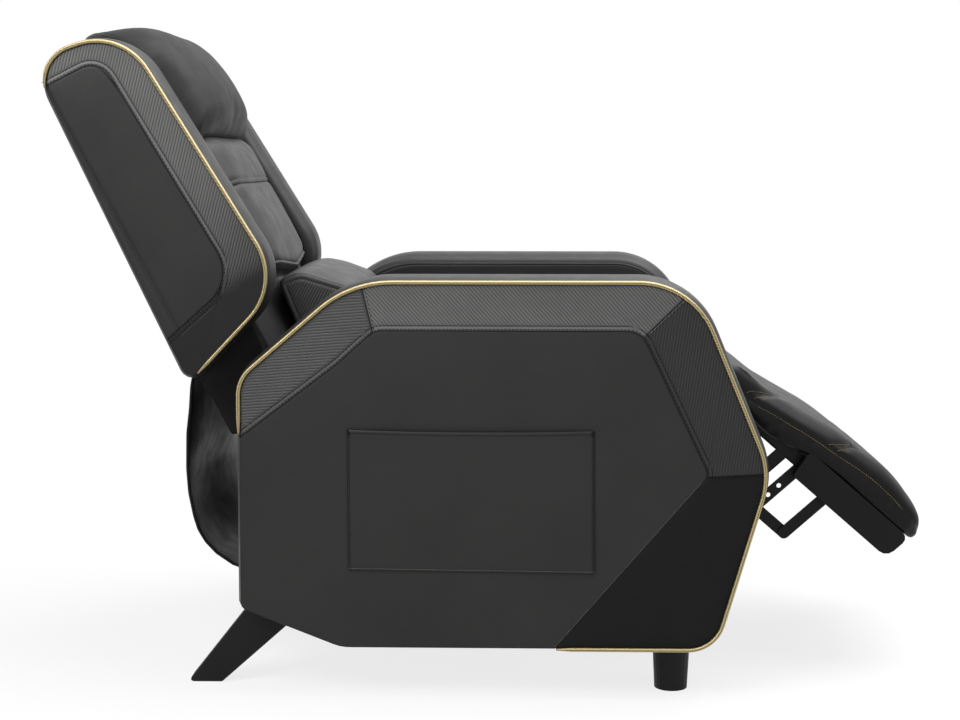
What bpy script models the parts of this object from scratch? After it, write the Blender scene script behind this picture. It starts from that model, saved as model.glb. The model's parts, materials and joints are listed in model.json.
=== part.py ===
"""Reclining gaming chair with a folding footrest: pieces in metres, +X forward, +Z up, floor at z = 0."""

import bmesh
import bpy
from math import acos
from math import cos
from math import radians
from math import sin
from math import tan
from mathutils import Vector

# Overall sizes
ARM_OUTER = 0.390
SEAT_GAP = 0.520
ARM_INNER = SEAT_GAP / 2
ARM_BOTTOM = 0.078
ARM_TOP = 0.6425
ARM_REAR = -0.400
ARM_CROWN = 0.007
FIT = 0.0003
PIPING_RADIUS = 0.0032

# Arm boards, pocket and feet
BOARD_COVER = 0.030
BOARD_HALF = 0.022
ARM_MIDDLE = (ARM_OUTER + ARM_INNER) / 2
POCKET_LOW = (-0.235, 0.199)
POCKET_HIGH = (0.140, 0.4185)
POCKET_DEPTH = 0.006
POCKET_WALL = 0.0022
POCKET_HEM = 0.009
FOOT_X = 0.266
FOOT_TOP_RADIUS = 0.0295
FOOT_BOTTOM_RADIUS = 0.0258
REAR_LEG_HALF = 0.018
REAR_LEG_MIDDLE = 0.303

# Footrest board and cushion, along the brackets and square to them
BOX_START = 0.160
BOX_END = 0.374
BOX_LOW = -0.026
BOX_TOP = 0.022
BOX_HALF = 0.240
BOX_WALL = 0.014
FOOT_CUSHION_END = 0.396
FOOT_CUSHION_TOP = 0.076

# Mechanism plates and links, from the outside inwards
PLATE = 0.003
LAYER_GAP = 0.0005
PLATE_SETBACK = 0.007
SIDE_PLATE_OUTER = BOX_HALF - BOX_WALL - PLATE_SETBACK
SIDE_PLATE_INNER = SIDE_PLATE_OUTER - PLATE
BRACKET_OUTER = SIDE_PLATE_INNER - LAYER_GAP
BRACKET_INNER = BRACKET_OUTER - PLATE
LINK_OUTER = BRACKET_INNER - LAYER_GAP
LINK_INNER = LINK_OUTER - PLATE
SWING_OUTER = LINK_INNER - LAYER_GAP
SWING_INNER = SWING_OUTER - PLATE
LINK_HALF = 0.0095
PIN_RADIUS = 0.005
HINGE_RADIUS = 0.008
PIN_FIT = 0.0003

# Footrest hinge and links
FOOT_HINGE = (0.357, 0.450)
FOOT_ANGLE = 41.0
LINK_LENGTH = 0.107
LINK_ANGLE = 42.0
LINK_STATIONS = (("upper", 0.134), ("middle", 0.173), ("lower", 0.238))
SWING_PIVOT = (
    FOOT_HINGE[0] - LINK_LENGTH * cos(radians(LINK_ANGLE)),
    FOOT_HINGE[1] - LINK_LENGTH * sin(radians(LINK_ANGLE)),
)
TORQUE_STATION = 0.060
KNEE_RADIUS = 0.048
KNEE_GAP = 0.004

# Backrest
RECLINE_PIVOT = (-0.380, 0.388)
BACK_TILT = 28.0
BACK_HALF = 0.2450
WING_OUTER = 0.345
WING_INNER = BACK_HALF + FIT
WING_CROWN = 0.003
BACK_REAR_LOW = -0.049
BACK_REAR_HIGH = -0.021
REAR_PANEL = 0.012
PANEL_START = 0.075
PANEL_TOP = 0.660
FRAME_FRONT = 0.030
STILE_START = 0.055
STILE_DROP = 0.020
STILE_TOP = PANEL_TOP - STILE_DROP
EAR_RADIUS = 0.024
BRACKET_REACH = 0.170
BOTTOM_RAIL_GAP = 0.005
BOTTOM_RAIL_HEIGHT = 0.050
TOP_RAIL_HEIGHT = 0.060

# Seat
PLATE_TOP = 0.335
PLATE_BOTTOM = 0.255
RAIL_HEIGHT = 0.041
RAIL_WIDTH = 0.027
RAIL_LAP = 0.011
RAIL_INNER = SIDE_PLATE_INNER - RAIL_LAP
SEAT_SETBACK = 0.055
SEAT_REAR = RECLINE_PIVOT[0] + SEAT_SETBACK
RAIL_FRONT = 0.255
SEAT_TOP = 0.487
SPRING_RADIUS = 0.0026
SPRING_EDGE = 0.045
SPRING_SWING = 0.026
SPRING_COUNT = 5
SPRING_TURNS = 9
SPRING_LEAD = 0.012
TUBE_SIDE = 0.030
FRONT_TUBE_X = 0.190
REAR_TUBE_X = -0.285
SKIRT_RAIL_SETBACK = 0.016
SKIRT_RAIL_DEPTH = 0.024
SKIRT_RAIL_LOW = 0.140
SKIRT_RAIL_HEIGHT = 0.040

SIDES = (("right", -1), ("left", 1))

for leftover in list(bpy.data.objects):
    bpy.data.objects.remove(leftover)

pieces = bpy.data.collections.new("pieces")
cutters = bpy.data.collections.new("cutters")
bpy.context.scene.collection.children.link(pieces)
bpy.context.scene.collection.children.link(cutters)


def make_finish(name, colour, roughness, metallic=0.0):
    finish = bpy.data.materials.new(name)
    finish.use_nodes = True
    shader = finish.node_tree.nodes["Principled BSDF"]
    shader.inputs["Base Color"].default_value = (*colour, 1.0)
    shader.inputs["Roughness"].default_value = roughness
    shader.inputs["Metallic"].default_value = metallic
    return finish


LEATHER = make_finish("black_faux_leather", (0.035, 0.036, 0.040), 0.5)
PIPING = make_finish("gold_piping", (0.55, 0.42, 0.16), 0.4)
WOOD = make_finish("plywood", (0.42, 0.28, 0.15), 0.7)
STEEL = make_finish("black_steel", (0.03, 0.03, 0.03), 0.4, 0.9)
SPRING_STEEL = make_finish("spring_steel", (0.35, 0.35, 0.36), 0.35, 1.0)
LEG_FINISH = make_finish("black_leg", (0.02, 0.02, 0.02), 0.45)


def make_pivot(name, place, tilt, parent):
    """An empty on a joint's axis, turned about Y so that its pieces are drawn along its own x and z."""
    pivot = bpy.data.objects.new(name, None)
    pieces.objects.link(pivot)
    pivot.location = (place[0], 0.0, place[1])
    pivot.rotation_euler = (0.0, radians(tilt), 0.0)
    pivot.parent = parent
    return pivot


def add_piece(name, parent, form, finish):
    """Turns a bmesh into an object under its pivot; with no finish it is a cutter."""
    mesh = bpy.data.meshes.new(name)
    form.normal_update()
    bmesh.ops.recalc_face_normals(form, faces=form.faces)
    if form.calc_volume(signed=True) < 0:
        bmesh.ops.reverse_faces(form, faces=form.faces)
    form.to_mesh(mesh)
    form.free()
    piece = bpy.data.objects.new(name, mesh)
    piece.parent = parent
    if finish:
        pieces.objects.link(piece)
        mesh.materials.append(finish)
    else:
        cutters.objects.link(piece)
        piece.hide_render = True
        piece.display_type = "WIRE"
    return piece


def rounded_outline(corners, steps=4):
    """Points and outward normals round a polygon; corners are (x, z, radius), anticlockwise."""
    outline = []
    for index, (x, z, radius) in enumerate(corners):
        here = Vector((x, z))
        before = (here - Vector(corners[index - 1][:2])).normalized()
        after = (Vector(corners[(index + 1) % len(corners)][:2]) - here).normalized()
        normal = Vector((before.y, -before.x))
        turn = before.x * after.y - before.y * after.x
        bend = acos(max(-1.0, min(1.0, before.dot(after))))
        side = 1.0 if turn > 0 else -1.0
        reach = radius * tan(bend / 2)
        centre = here - before * reach - normal * radius * side
        for step in range(steps + 1):
            angle = side * bend * step / steps
            ray = Vector(
                (
                    normal.x * cos(angle) - normal.y * sin(angle),
                    normal.x * sin(angle) + normal.y * cos(angle),
                )
            )
            spot = centre + ray * radius * side
            outline.append((spot.x, spot.y, ray.x, ray.y))
    return outline


def offset_corners(corners, distances):
    """Moves each edge of a polygon outwards; edge i runs from corner i to corner i + 1."""
    lines = []
    for index, distance in enumerate(distances):
        start = Vector(corners[index][:2])
        end = Vector(corners[(index + 1) % len(corners)][:2])
        along = (end - start).normalized()
        lines.append((start + Vector((along.y, -along.x)) * distance, along))
    moved = []
    for index in range(len(corners)):
        point, along = lines[index - 1]
        other, across = lines[index]
        cross = along.x * across.y - along.y * across.x
        gap = other - point
        travel = (gap.x * across.y - gap.y * across.x) / cross
        place = point + along * travel
        moved.append((place.x, place.y, corners[index][2]))
    return moved


def bar_corners(start, end, half):
    """Corners of a straight bar with round ends, along local x."""
    round_end = half * 0.98
    return (
        (start - half, -half, round_end),
        (end + half, -half, round_end),
        (end + half, half, round_end),
        (start - half, half, round_end),
    )


def block_corners(low, high, radius):
    return (
        (low[0], low[1], radius),
        (high[0], low[1], radius),
        (high[0], high[1], radius),
        (low[0], high[1], radius),
    )


def loft(name, parent, outline, sections, finish):
    """Carries an outline along y through sections of (y, growth)."""
    form = bmesh.new()
    rings = []
    for y, growth in sections:
        rings.append([form.verts.new((x + nx * growth, y, z + nz * growth)) for x, z, nx, nz in outline])
    for near, far in zip(rings, rings[1:]):
        for index in range(len(outline)):
            after = (index + 1) % len(outline)
            form.faces.new((near[index], near[after], far[after], far[index]))
    form.faces.new(rings[0])
    form.faces.new(rings[-1])
    return add_piece(name, parent, form, finish)


def slab(name, parent, corners, near, far, finish, steps=4, edge=0.0):
    """A flat plate between two y values, with eased edges when edge is given."""
    outline = rounded_outline(corners, steps)
    if edge:
        toward = edge if far > near else -edge
        sections = ((near, -edge), (near + toward, 0.0), (far - toward, 0.0), (far, -edge))
    else:
        sections = ((near, 0.0), (far, 0.0))
    return loft(name, parent, outline, sections, finish)


def block(name, parent, low, high, finish, edge=0.0):
    """A rectangular bar between two corners."""
    form = bmesh.new()
    bmesh.ops.create_cube(form, size=1.0)
    for vert in form.verts:
        vert.co = [low[k] if vert.co[k] < 0 else high[k] for k in range(3)]
    piece = add_piece(name, parent, form, finish)
    if edge:
        bevel = piece.modifiers.new("eased edges", "BEVEL")
        bevel.width = edge
        bevel.segments = 1
    return piece


def rod(name, parent, place, near, far, radius, finish, sides=14):
    """A round bar along y at (x, z)."""
    form = bmesh.new()
    bmesh.ops.create_cone(
        form,
        cap_ends=True,
        segments=sides,
        radius1=radius,
        radius2=radius,
        depth=1.0,
    )
    for vert in form.verts:
        x, y, t = vert.co
        vert.co = (place[0] + x, near + (far - near) * (t + 0.5), place[1] + y)
    return add_piece(name, parent, form, finish)


def combine(piece, tool, operation):
    change = piece.modifiers.new(tool.name, "BOOLEAN")
    change.operation = operation
    change.solver = "EXACT"
    change.object = tool


def drill(piece, parent, place, radius, near, far):
    tool = rod(piece.name + "_bore", parent, place, near, far, radius, None)
    combine(piece, tool, "DIFFERENCE")


def add_pin(piece, parent, place, radius, near, far):
    tool = rod(piece.name + "_pin", parent, place, near, far, radius, None)
    combine(piece, tool, "UNION")


def tube(name, parent, points, radius, finish, resolution=1, closed=False):
    """A round tube through points, as a mesh."""
    path = bpy.data.curves.new(name, "CURVE")
    path.dimensions = "3D"
    path.bevel_depth = radius
    path.bevel_resolution = resolution
    path.use_fill_caps = not closed
    spline = path.splines.new("POLY")
    spline.points.add(len(points) - 1)
    for point, place in zip(spline.points, points):
        point.co = (*place, 1.0)
    spline.use_cyclic_u = closed
    holder = bpy.data.objects.new(name + "_path", path)
    cutters.objects.link(holder)
    bpy.context.view_layer.update()
    mesh = bpy.data.meshes.new_from_object(holder.evaluated_get(bpy.context.evaluated_depsgraph_get()))
    bpy.data.objects.remove(holder)
    form = bmesh.new()
    form.from_mesh(mesh)
    bmesh.ops.remove_doubles(form, verts=form.verts, dist=0.00001)
    return add_piece(name, parent, form, finish)


def cushion(name, parent, low, high, cuts, face, crown, draw, channels=(), ease=0.0, shape=None):
    """A padded block: crowned on one face, drawn in at its sides, with channels across the crown.

    cuts are the three lists of loop positions from -1 to 1, face is the crowned axis, channels are
    (axis, position, depth) and shape moves the finished points.
    """
    form = bmesh.new()
    bmesh.ops.create_cube(form, size=2.0)
    for axis in range(3):
        for position in cuts[axis]:
            plane = [0.0, 0.0, 0.0]
            plane[axis] = 1.0
            at = [0.0, 0.0, 0.0]
            at[axis] = position
            everything = form.verts[:] + form.edges[:] + form.faces[:]
            bmesh.ops.bisect_plane(form, geom=everything, plane_co=at, plane_no=plane)
    sides = [axis for axis in range(3) if axis != face]
    for vert in form.verts:
        part = [vert.co[axis] for axis in range(3)]
        place = [0.0, 0.0, 0.0]
        swell = (1 - part[sides[0]] ** 2) * (1 - part[sides[1]] ** 2)
        for axis in range(3):
            middle = (low[axis] + high[axis]) / 2
            half = (high[axis] - low[axis]) / 2
            reach = part[axis]
            if axis in sides:
                other = sides[1] if axis == sides[0] else sides[0]
                reach *= 1 - draw * (1 - part[other] ** 2)
            place[axis] = middle + half * reach
        if part[face] > 0:
            place[face] -= crown * (1 - swell) * part[face]
            for axis, position, depth in channels:
                if abs(part[axis] - position) < 0.001:
                    other = [side for side in sides if side != axis][0]
                    place[face] -= depth * (1 - 0.3 * part[other] ** 2)
        vert.co = shape(place, part) if shape else place
    piece = add_piece(name, parent, form, LEATHER)
    soften = piece.modifiers.new("soften", "SUBSURF")
    soften.levels = 1
    soften.render_levels = 1
    return piece


origin = make_pivot("chair_origin", (0.0, 0.0), 0.0, None)
recline_axis = make_pivot("recline_axis", RECLINE_PIVOT, -BACK_TILT, origin)
footrest_axis = make_pivot("footrest_axis", FOOT_HINGE, FOOT_ANGLE, origin)
swing_axis = make_pivot("swing_axis", SWING_PIVOT, FOOT_ANGLE, origin)

# Arms: padded covers over boards, with piping round the outer edge
ARM_CORNERS = (
    (ARM_REAR - 0.0025, 0.139, 0.012),
    (-0.248, ARM_BOTTOM, 0.060),
    (0.327, ARM_BOTTOM, 0.055),
    (0.4065, 0.353, 0.125),
    (0.285, ARM_TOP, 0.122),
    (-0.2285, ARM_TOP, 0.168),
    (ARM_REAR, 0.4955, 0.055),
)
ARM_EDGES = len(ARM_CORNERS)
BOARD_EDGES = [0.0, 0.0] + [-BOARD_COVER] * (ARM_EDGES - 2)
CAVITY_EDGES = [0.030, 0.030] + [-BOARD_COVER + FIT] * (ARM_EDGES - 2)
arm_outline = rounded_outline(ARM_CORNERS, 5)
# The crown fades out under the arm, where the board and the feet are
arm_crown = []
for x, z, nx, nz in arm_outline:
    fade = min(1.0, max(0.0, 1 + 1.1 * nz))
    arm_crown.append((x, z, nx * fade, nz * fade))
board_corners = [(x, z, r * 0.6) for x, z, r in offset_corners(ARM_CORNERS, BOARD_EDGES)]
cavity_corners = [(x, z, r * 0.6) for x, z, r in offset_corners(ARM_CORNERS, CAVITY_EDGES)]
arm_half = (ARM_OUTER - ARM_INNER) / 2
ARM_SECTIONS = [
    (ARM_MIDDLE + arm_half * share, ARM_CROWN * (1 - share * share)) for share in (-1.0, -0.5, 0.0, 0.5, 1.0)
]
PIPING_OUT = (PIPING_RADIUS + FIT) * 0.58
PIPING_SIDE = (PIPING_RADIUS + FIT) * 0.83
PIPING_REAR_END = 0.412
PIPING_FRONT_END = 0.082

for side, sign in SIDES:
    cover = loft(
        side + "_arm_cover", origin, arm_crown, [(sign * y, grow) for y, grow in ARM_SECTIONS], LEATHER
    )
    hollow = loft(
        side + "_arm_hollow",
        origin,
        rounded_outline(cavity_corners, 3),
        ((sign * (ARM_MIDDLE - BOARD_HALF - FIT), 0.0), (sign * (ARM_MIDDLE + BOARD_HALF + FIT), 0.0)),
        None,
    )
    combine(cover, hollow, "DIFFERENCE")
    slab(
        side + "_arm_board",
        origin,
        board_corners,
        sign * (ARM_MIDDLE - BOARD_HALF),
        sign * (ARM_MIDDLE + BOARD_HALF),
        WOOD,
        3,
    )
    edge_side = sign * (ARM_OUTER + PIPING_SIDE)
    path = [(x + nx * PIPING_OUT, edge_side, z + nz * PIPING_OUT) for x, z, nx, nz in arm_outline]
    front = [spot for spot in path if spot[2] > ARM_BOTTOM + 0.02 and spot[0] > -0.1 or spot[0] > 0.26]
    top = [spot for spot in path if spot[0] <= -0.1 and spot[2] > PIPING_REAR_END]
    run = [(PIPING_FRONT_END, edge_side, ARM_BOTTOM - PIPING_OUT)] + front + top
    run.append((ARM_REAR - PIPING_OUT, edge_side, PIPING_REAR_END))
    tube(side + "_arm_piping", origin, run, PIPING_RADIUS, PIPING)

# Side pocket on the right arm: a panel with a rim on three sides, open at the top
pocket_face = -(ARM_OUTER + FIT)
pocket = slab(
    "side_pocket",
    origin,
    block_corners(POCKET_LOW, POCKET_HIGH, 0.006),
    pocket_face,
    pocket_face - POCKET_DEPTH - POCKET_WALL,
    LEATHER,
    2,
)
pocket_space = block(
    "side_pocket_space",
    origin,
    (POCKET_LOW[0] + POCKET_HEM, pocket_face - POCKET_DEPTH, POCKET_LOW[1] + POCKET_HEM),
    (POCKET_HIGH[0] - POCKET_HEM, pocket_face + 0.01, POCKET_HIGH[1] + 0.01),
    None,
)
combine(pocket, pocket_space, "DIFFERENCE")

# Legs
REAR_LEG_CORNERS = (
    (-0.5005, 0.0, 0.004),
    (-0.446, 0.0, 0.004),
    (-0.3245, 0.1081 - FIT, 0.003),
    (-0.3940, 0.1355 - FIT, 0.003),
)
for side, sign in SIDES:
    slab(
        side + "_rear_leg",
        origin,
        REAR_LEG_CORNERS,
        sign * (REAR_LEG_MIDDLE - REAR_LEG_HALF),
        sign * (REAR_LEG_MIDDLE + REAR_LEG_HALF),
        LEG_FINISH,
        2,
        0.002,
    )
    form = bmesh.new()
    bmesh.ops.create_cone(
        form,
        cap_ends=True,
        segments=24,
        radius1=FOOT_BOTTOM_RADIUS,
        radius2=FOOT_TOP_RADIUS,
        depth=ARM_BOTTOM - FIT,
    )
    bmesh.ops.translate(form, verts=form.verts, vec=(FOOT_X, sign * ARM_MIDDLE, (ARM_BOTTOM - FIT) / 2))
    add_piece(side + "_front_foot", origin, form, LEG_FINISH)

# Base between the arms
base_reach = ARM_INNER - FIT
for name, centre_x in (("front_base_tube", FRONT_TUBE_X), ("rear_base_tube", REAR_TUBE_X)):
    block(
        name,
        origin,
        (centre_x - TUBE_SIDE / 2, -base_reach, PLATE_BOTTOM - FIT - TUBE_SIDE),
        (centre_x + TUBE_SIDE / 2, base_reach, PLATE_BOTTOM - FIT),
        STEEL,
        0.003,
    )
skirt_rail_rear = ARM_REAR + SKIRT_RAIL_SETBACK
block(
    "skirt_rail",
    origin,
    (skirt_rail_rear, -base_reach, SKIRT_RAIL_LOW),
    (skirt_rail_rear + SKIRT_RAIL_DEPTH, base_reach, SKIRT_RAIL_LOW + SKIRT_RAIL_HEIGHT),
    WOOD,
    0.002,
)

# Mechanism side plates with the recline ear, the swing link pin and the footrest ear
pivot_x, pivot_z = RECLINE_PIVOT
hinge_x, hinge_z = FOOT_HINGE
swing_x, swing_z = SWING_PIVOT
PLATE_STEP = RAIL_FRONT + 0.004
SIDE_PLATE_CORNERS = (
    (pivot_x + 0.02, PLATE_BOTTOM, 0.015),
    (swing_x - 0.01, PLATE_BOTTOM, 0.020),
    (hinge_x + 0.016, hinge_z - 0.060, 0.015),
    (hinge_x + 0.020, hinge_z + 0.020, 0.018),
    (hinge_x - 0.020, hinge_z + 0.020, 0.018),
    (PLATE_STEP, swing_z + 0.018, 0.012),
    (PLATE_STEP, PLATE_TOP, 0.003),
    (pivot_x + 0.044, PLATE_TOP, 0.006),
    (pivot_x + EAR_RADIUS, pivot_z + EAR_RADIUS, EAR_RADIUS * 0.9),
    (pivot_x - EAR_RADIUS, pivot_z + EAR_RADIUS, EAR_RADIUS * 0.9),
)
for side, sign in SIDES:
    inner = sign * SIDE_PLATE_INNER
    outer = sign * SIDE_PLATE_OUTER
    plate = slab(side + "_side_plate", origin, SIDE_PLATE_CORNERS, inner, outer, STEEL, 3)
    drill(plate, origin, FOOT_HINGE, HINGE_RADIUS + PIN_FIT, inner - sign * 0.01, outer + sign * 0.01)
    drill(plate, origin, RECLINE_PIVOT, HINGE_RADIUS + PIN_FIT, inner - sign * 0.01, outer + sign * 0.01)
    add_pin(plate, origin, SWING_PIVOT, PIN_RADIUS, sign * (SWING_INNER - 0.001), inner + sign * 0.001)
    bolt = rod(
        side + "_recline_bolt",
        origin,
        RECLINE_PIVOT,
        sign * (BRACKET_INNER - 0.004),
        outer + sign * FIT,
        HINGE_RADIUS,
        STEEL,
    )
    head = rod(
        side + "_bolt_head",
        origin,
        RECLINE_PIVOT,
        outer + sign * FIT,
        outer + sign * 0.007,
        HINGE_RADIUS * 1.7,
        None,
        6,
    )
    combine(bolt, head, "UNION")

# Seat rails, springs and cushion
rail_low = PLATE_TOP + FIT
rail_high = rail_low + RAIL_HEIGHT
for side, sign in SIDES:
    inner = sign * RAIL_INNER
    outer = sign * (ARM_INNER - FIT)
    block(
        side + "_seat_rail",
        origin,
        (SEAT_REAR, min(inner, outer), rail_low),
        (RAIL_FRONT, max(inner, outer), rail_high),
        WOOD,
        0.002,
    )
cross_reach = RAIL_INNER - FIT
CROSS_RAILS = (("front_seat_rail", RAIL_FRONT - RAIL_WIDTH), ("rear_seat_rail", SEAT_REAR))
for name, start in CROSS_RAILS:
    block(
        name,
        origin,
        (start, -cross_reach, rail_low),
        (start + RAIL_WIDTH, cross_reach, rail_high),
        WOOD,
        0.002,
    )
spring_start = SEAT_REAR + RAIL_WIDTH + FIT
spring_end = RAIL_FRONT - RAIL_WIDTH - FIT
spring_run = spring_end - spring_start - 2 * SPRING_LEAD
spring_level = rail_high - SPRING_RADIUS
spring_spacing = 2 * (RAIL_INNER - SPRING_EDGE) / (SPRING_COUNT - 1)
for number in range(SPRING_COUNT):
    place = (number - (SPRING_COUNT - 1) / 2) * spring_spacing
    points = [(spring_start, place, spring_level), (spring_start + SPRING_LEAD, place, spring_level)]
    for turn in range(SPRING_TURNS):
        swing = SPRING_SWING if turn % 2 else -SPRING_SWING
        for share in (0.25, 0.75):
            x = spring_start + SPRING_LEAD + spring_run * (turn + share) / SPRING_TURNS
            points.append((x, place + swing, spring_level))
    points.append((spring_end - SPRING_LEAD, place, spring_level))
    points.append((spring_end, place, spring_level))
    tube("seat_spring_%d" % (number + 1), origin, points, SPRING_RADIUS, SPRING_STEEL, 0)

SEAT_FRONT = hinge_x - KNEE_RADIUS - KNEE_GAP


def seat_shape(place, part):
    """Lifts the front of the seat to meet the knee roll and rounds its upper front edge."""
    rise = 0.018 * (part[0] + 1) / 2
    if part[2] > 0:
        place[2] += rise * part[2]
    return place


seat = cushion(
    "seat_cushion",
    origin,
    (SEAT_REAR, -(ARM_INNER - 0.003), rail_high + FIT),
    (SEAT_FRONT, ARM_INNER - 0.003, SEAT_TOP),
    ((-0.8, -0.4, 0.0, 0.4, 0.8), (-0.85, -0.4, 0.0, 0.4, 0.85), (-0.6, 0.5)),
    2,
    0.016,
    0.012,
    shape=seat_shape,
)
notch_inner = SWING_INNER - 0.003
for side, sign in SIDES:
    edges = sorted((sign * notch_inner, sign * (ARM_INNER + 0.02)))
    notch = block(
        side + "_seat_notch",
        origin,
        (RAIL_FRONT + 0.002, edges[0], rail_high - 0.02),
        (SEAT_FRONT + 0.02, edges[1], SEAT_TOP + 0.06),
        None,
    )
    combine(seat, notch, "DIFFERENCE")
under = block(
    "seat_front_notch",
    origin,
    (RAIL_FRONT + 0.002, -ARM_INNER, rail_high - 0.02),
    (SEAT_FRONT + 0.02, ARM_INNER, rail_high + 0.014),
    None,
)
combine(seat, under, "DIFFERENCE")
hinge_reach = SIDE_PLATE_OUTER + 0.004
rod("hinge_tube", origin, FOOT_HINGE, -hinge_reach, hinge_reach, HINGE_RADIUS, STEEL)
roll_reach = BRACKET_INNER - 0.003
knee = rod("knee_roll", origin, FOOT_HINGE, -roll_reach, roll_reach, KNEE_RADIUS, LEATHER, 32)
drill(knee, origin, FOOT_HINGE, HINGE_RADIUS + FIT, -hinge_reach, hinge_reach)

# Rear skirt: a hanging sheet from the back to the skirt rail
SKIRT_SEAT = 0.0005
SKIRT_LINE = (
    (-0.4824, 0.4748),
    (-0.4910, 0.4765),
    (-0.4995, 0.4690),
    (-0.5045, 0.4530),
    (-0.5080, 0.4270),
    (-0.5120, 0.3880),
    (-0.5110, 0.3290),
    (-0.5075, 0.2890),
    (-0.5000, 0.2500),
    (-0.4935, 0.2290),
    (-0.4825, 0.2100),
    (-0.4650, 0.1910),
    (-0.4375, 0.1720),
    (skirt_rail_rear - FIT - SKIRT_SEAT, 0.1560),
)
SKIRT_HALF = 0.232
SKIRT_THICK = 0.003
SKIRT_SAG = 0.006
form = bmesh.new()
rows = []
for share_y in (-1.0, -0.52, 0.0, 0.52, 1.0):
    y = share_y * SKIRT_HALF
    sag = SKIRT_SAG * (1 - share_y**2)
    rows.append([])
    for index, (x, z) in enumerate(SKIRT_LINE):
        share = sin(3.1416 * index / (len(SKIRT_LINE) - 1))
        rows[-1].append(form.verts.new((x - sag * share, y, z)))
for near, far in zip(rows, rows[1:]):
    for index in range(len(SKIRT_LINE) - 1):
        form.faces.new((near[index], near[index + 1], far[index + 1], far[index]))
skirt = add_piece("rear_skirt", origin, form, LEATHER)
thicken = skirt.modifiers.new("thickness", "SOLIDIFY")
thicken.thickness = SKIRT_THICK
thicken.offset = 0.0

# Back frame, in the back's own frame: x is forward from the pivot line and z is up along the back
STILE_OUTER = BACK_HALF
STILE_INNER = BRACKET_OUTER + FIT


def panel_rear(height):
    """How far back the rear panel's outer face is at a height up the back."""
    share = (height - PANEL_START) / (PANEL_TOP - PANEL_START)
    return BACK_REAR_LOW + (BACK_REAR_HIGH - BACK_REAR_LOW) * share


def frame_rear(height):
    return panel_rear(height) + REAR_PANEL + FIT


for side, sign in SIDES:
    slab(
        side + "_back_stile",
        recline_axis,
        (
            (frame_rear(STILE_START), STILE_START, 0.002),
            (FRAME_FRONT, STILE_START, 0.002),
            (FRAME_FRONT, STILE_TOP, 0.002),
            (frame_rear(STILE_TOP), STILE_TOP, 0.002),
        ),
        sign * STILE_INNER,
        sign * STILE_OUTER,
        WOOD,
        1,
    )
    bracket = slab(
        side + "_back_bracket",
        recline_axis,
        (
            (-EAR_RADIUS * 0.9, -EAR_RADIUS * 0.9, EAR_RADIUS * 0.8),
            (EAR_RADIUS * 0.9, -EAR_RADIUS * 0.9, EAR_RADIUS * 0.8),
            (EAR_RADIUS * 0.9, BRACKET_REACH, 0.008),
            (-EAR_RADIUS * 0.9, BRACKET_REACH, 0.008),
        ),
        sign * BRACKET_INNER,
        sign * BRACKET_OUTER,
        STEEL,
        3,
    )
    through = (sign * (BRACKET_INNER - 0.01), sign * (BRACKET_OUTER + 0.01))
    drill(bracket, recline_axis, (0.0, 0.0), HINGE_RADIUS + PIN_FIT, *through)
rail_reach = STILE_INNER - FIT
bottom_rail_low = BRACKET_REACH + BOTTOM_RAIL_GAP
BACK_RAILS = (
    ("back_bottom_rail", bottom_rail_low, bottom_rail_low + BOTTOM_RAIL_HEIGHT),
    ("back_top_rail", STILE_TOP - TOP_RAIL_HEIGHT, STILE_TOP),
)
for name, low, high in BACK_RAILS:
    block(
        name,
        recline_axis,
        (frame_rear(high), -rail_reach, low),
        (FRAME_FRONT, rail_reach, high),
        WOOD,
        0.002,
    )
slab(
    "back_rear_panel",
    recline_axis,
    (
        (panel_rear(PANEL_START), PANEL_START, 0.004),
        (panel_rear(PANEL_START) + REAR_PANEL, PANEL_START, 0.002),
        (panel_rear(PANEL_TOP) + REAR_PANEL, PANEL_TOP, 0.002),
        (panel_rear(PANEL_TOP), PANEL_TOP, 0.004),
    ),
    -BACK_HALF,
    BACK_HALF,
    LEATHER,
    2,
)

# Wings with piping round the outer edge
WING_CORNERS = (
    (-0.049, 0.136, 0.016),
    (0.154, 0.209, 0.084),
    (0.1255, 0.651, 0.090),
    (-0.021, 0.675, 0.056),
)
wing_outline = rounded_outline(WING_CORNERS, 6)
wing_middle = (WING_OUTER + WING_INNER) / 2
wing_half = (WING_OUTER - WING_INNER) / 2
WING_SECTIONS = [
    (wing_middle + wing_half * share, WING_CROWN * (1 - share * share)) for share in (-1.0, -0.4, 0.4, 1.0)
]
WING_PIPING_REAR = -0.0225
for side, sign in SIDES:
    loft(
        side + "_wing", recline_axis, wing_outline, [(sign * y, grow) for y, grow in WING_SECTIONS], LEATHER
    )
    edge_side = sign * (WING_OUTER + PIPING_SIDE)
    path = [(x + nx * PIPING_OUT, edge_side, z + nz * PIPING_OUT) for x, z, nx, nz in wing_outline]
    start = [spot for spot in path if spot[2] < 0.4 and spot[0] > -0.02]
    rest = [spot for spot in path if spot[2] >= 0.4]
    tube(side + "_wing_piping", recline_axis, start + rest, PIPING_RADIUS, PIPING)

# Back pads
PAD_REAR = FRAME_FRONT + FIT
PAD_HALF = BACK_HALF - FIT
PAD_CUTS = ((-0.5, 0.6), (-0.85, -0.4, 0.0, 0.4, 0.85), (-0.75, 0.0, 0.75))
HEADREST_LOW = 0.468
UPPER_LOW = 0.377
MIDDLE_LOW = 0.226
LOWER_LOW = 0.085
PADS = (
    ("headrest_pad", HEADREST_LOW, 0.702, 0.186, 0.205, 0.026),
    ("upper_back_pad", UPPER_LOW, HEADREST_LOW - 0.002, 0.152, PAD_HALF, 0.022),
    ("middle_back_pad", MIDDLE_LOW, UPPER_LOW - 0.002, 0.146, PAD_HALF, 0.024),
    ("lower_back_pad", LOWER_LOW, MIDDLE_LOW - 0.002, 0.116, PAD_HALF, 0.018),
)


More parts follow.
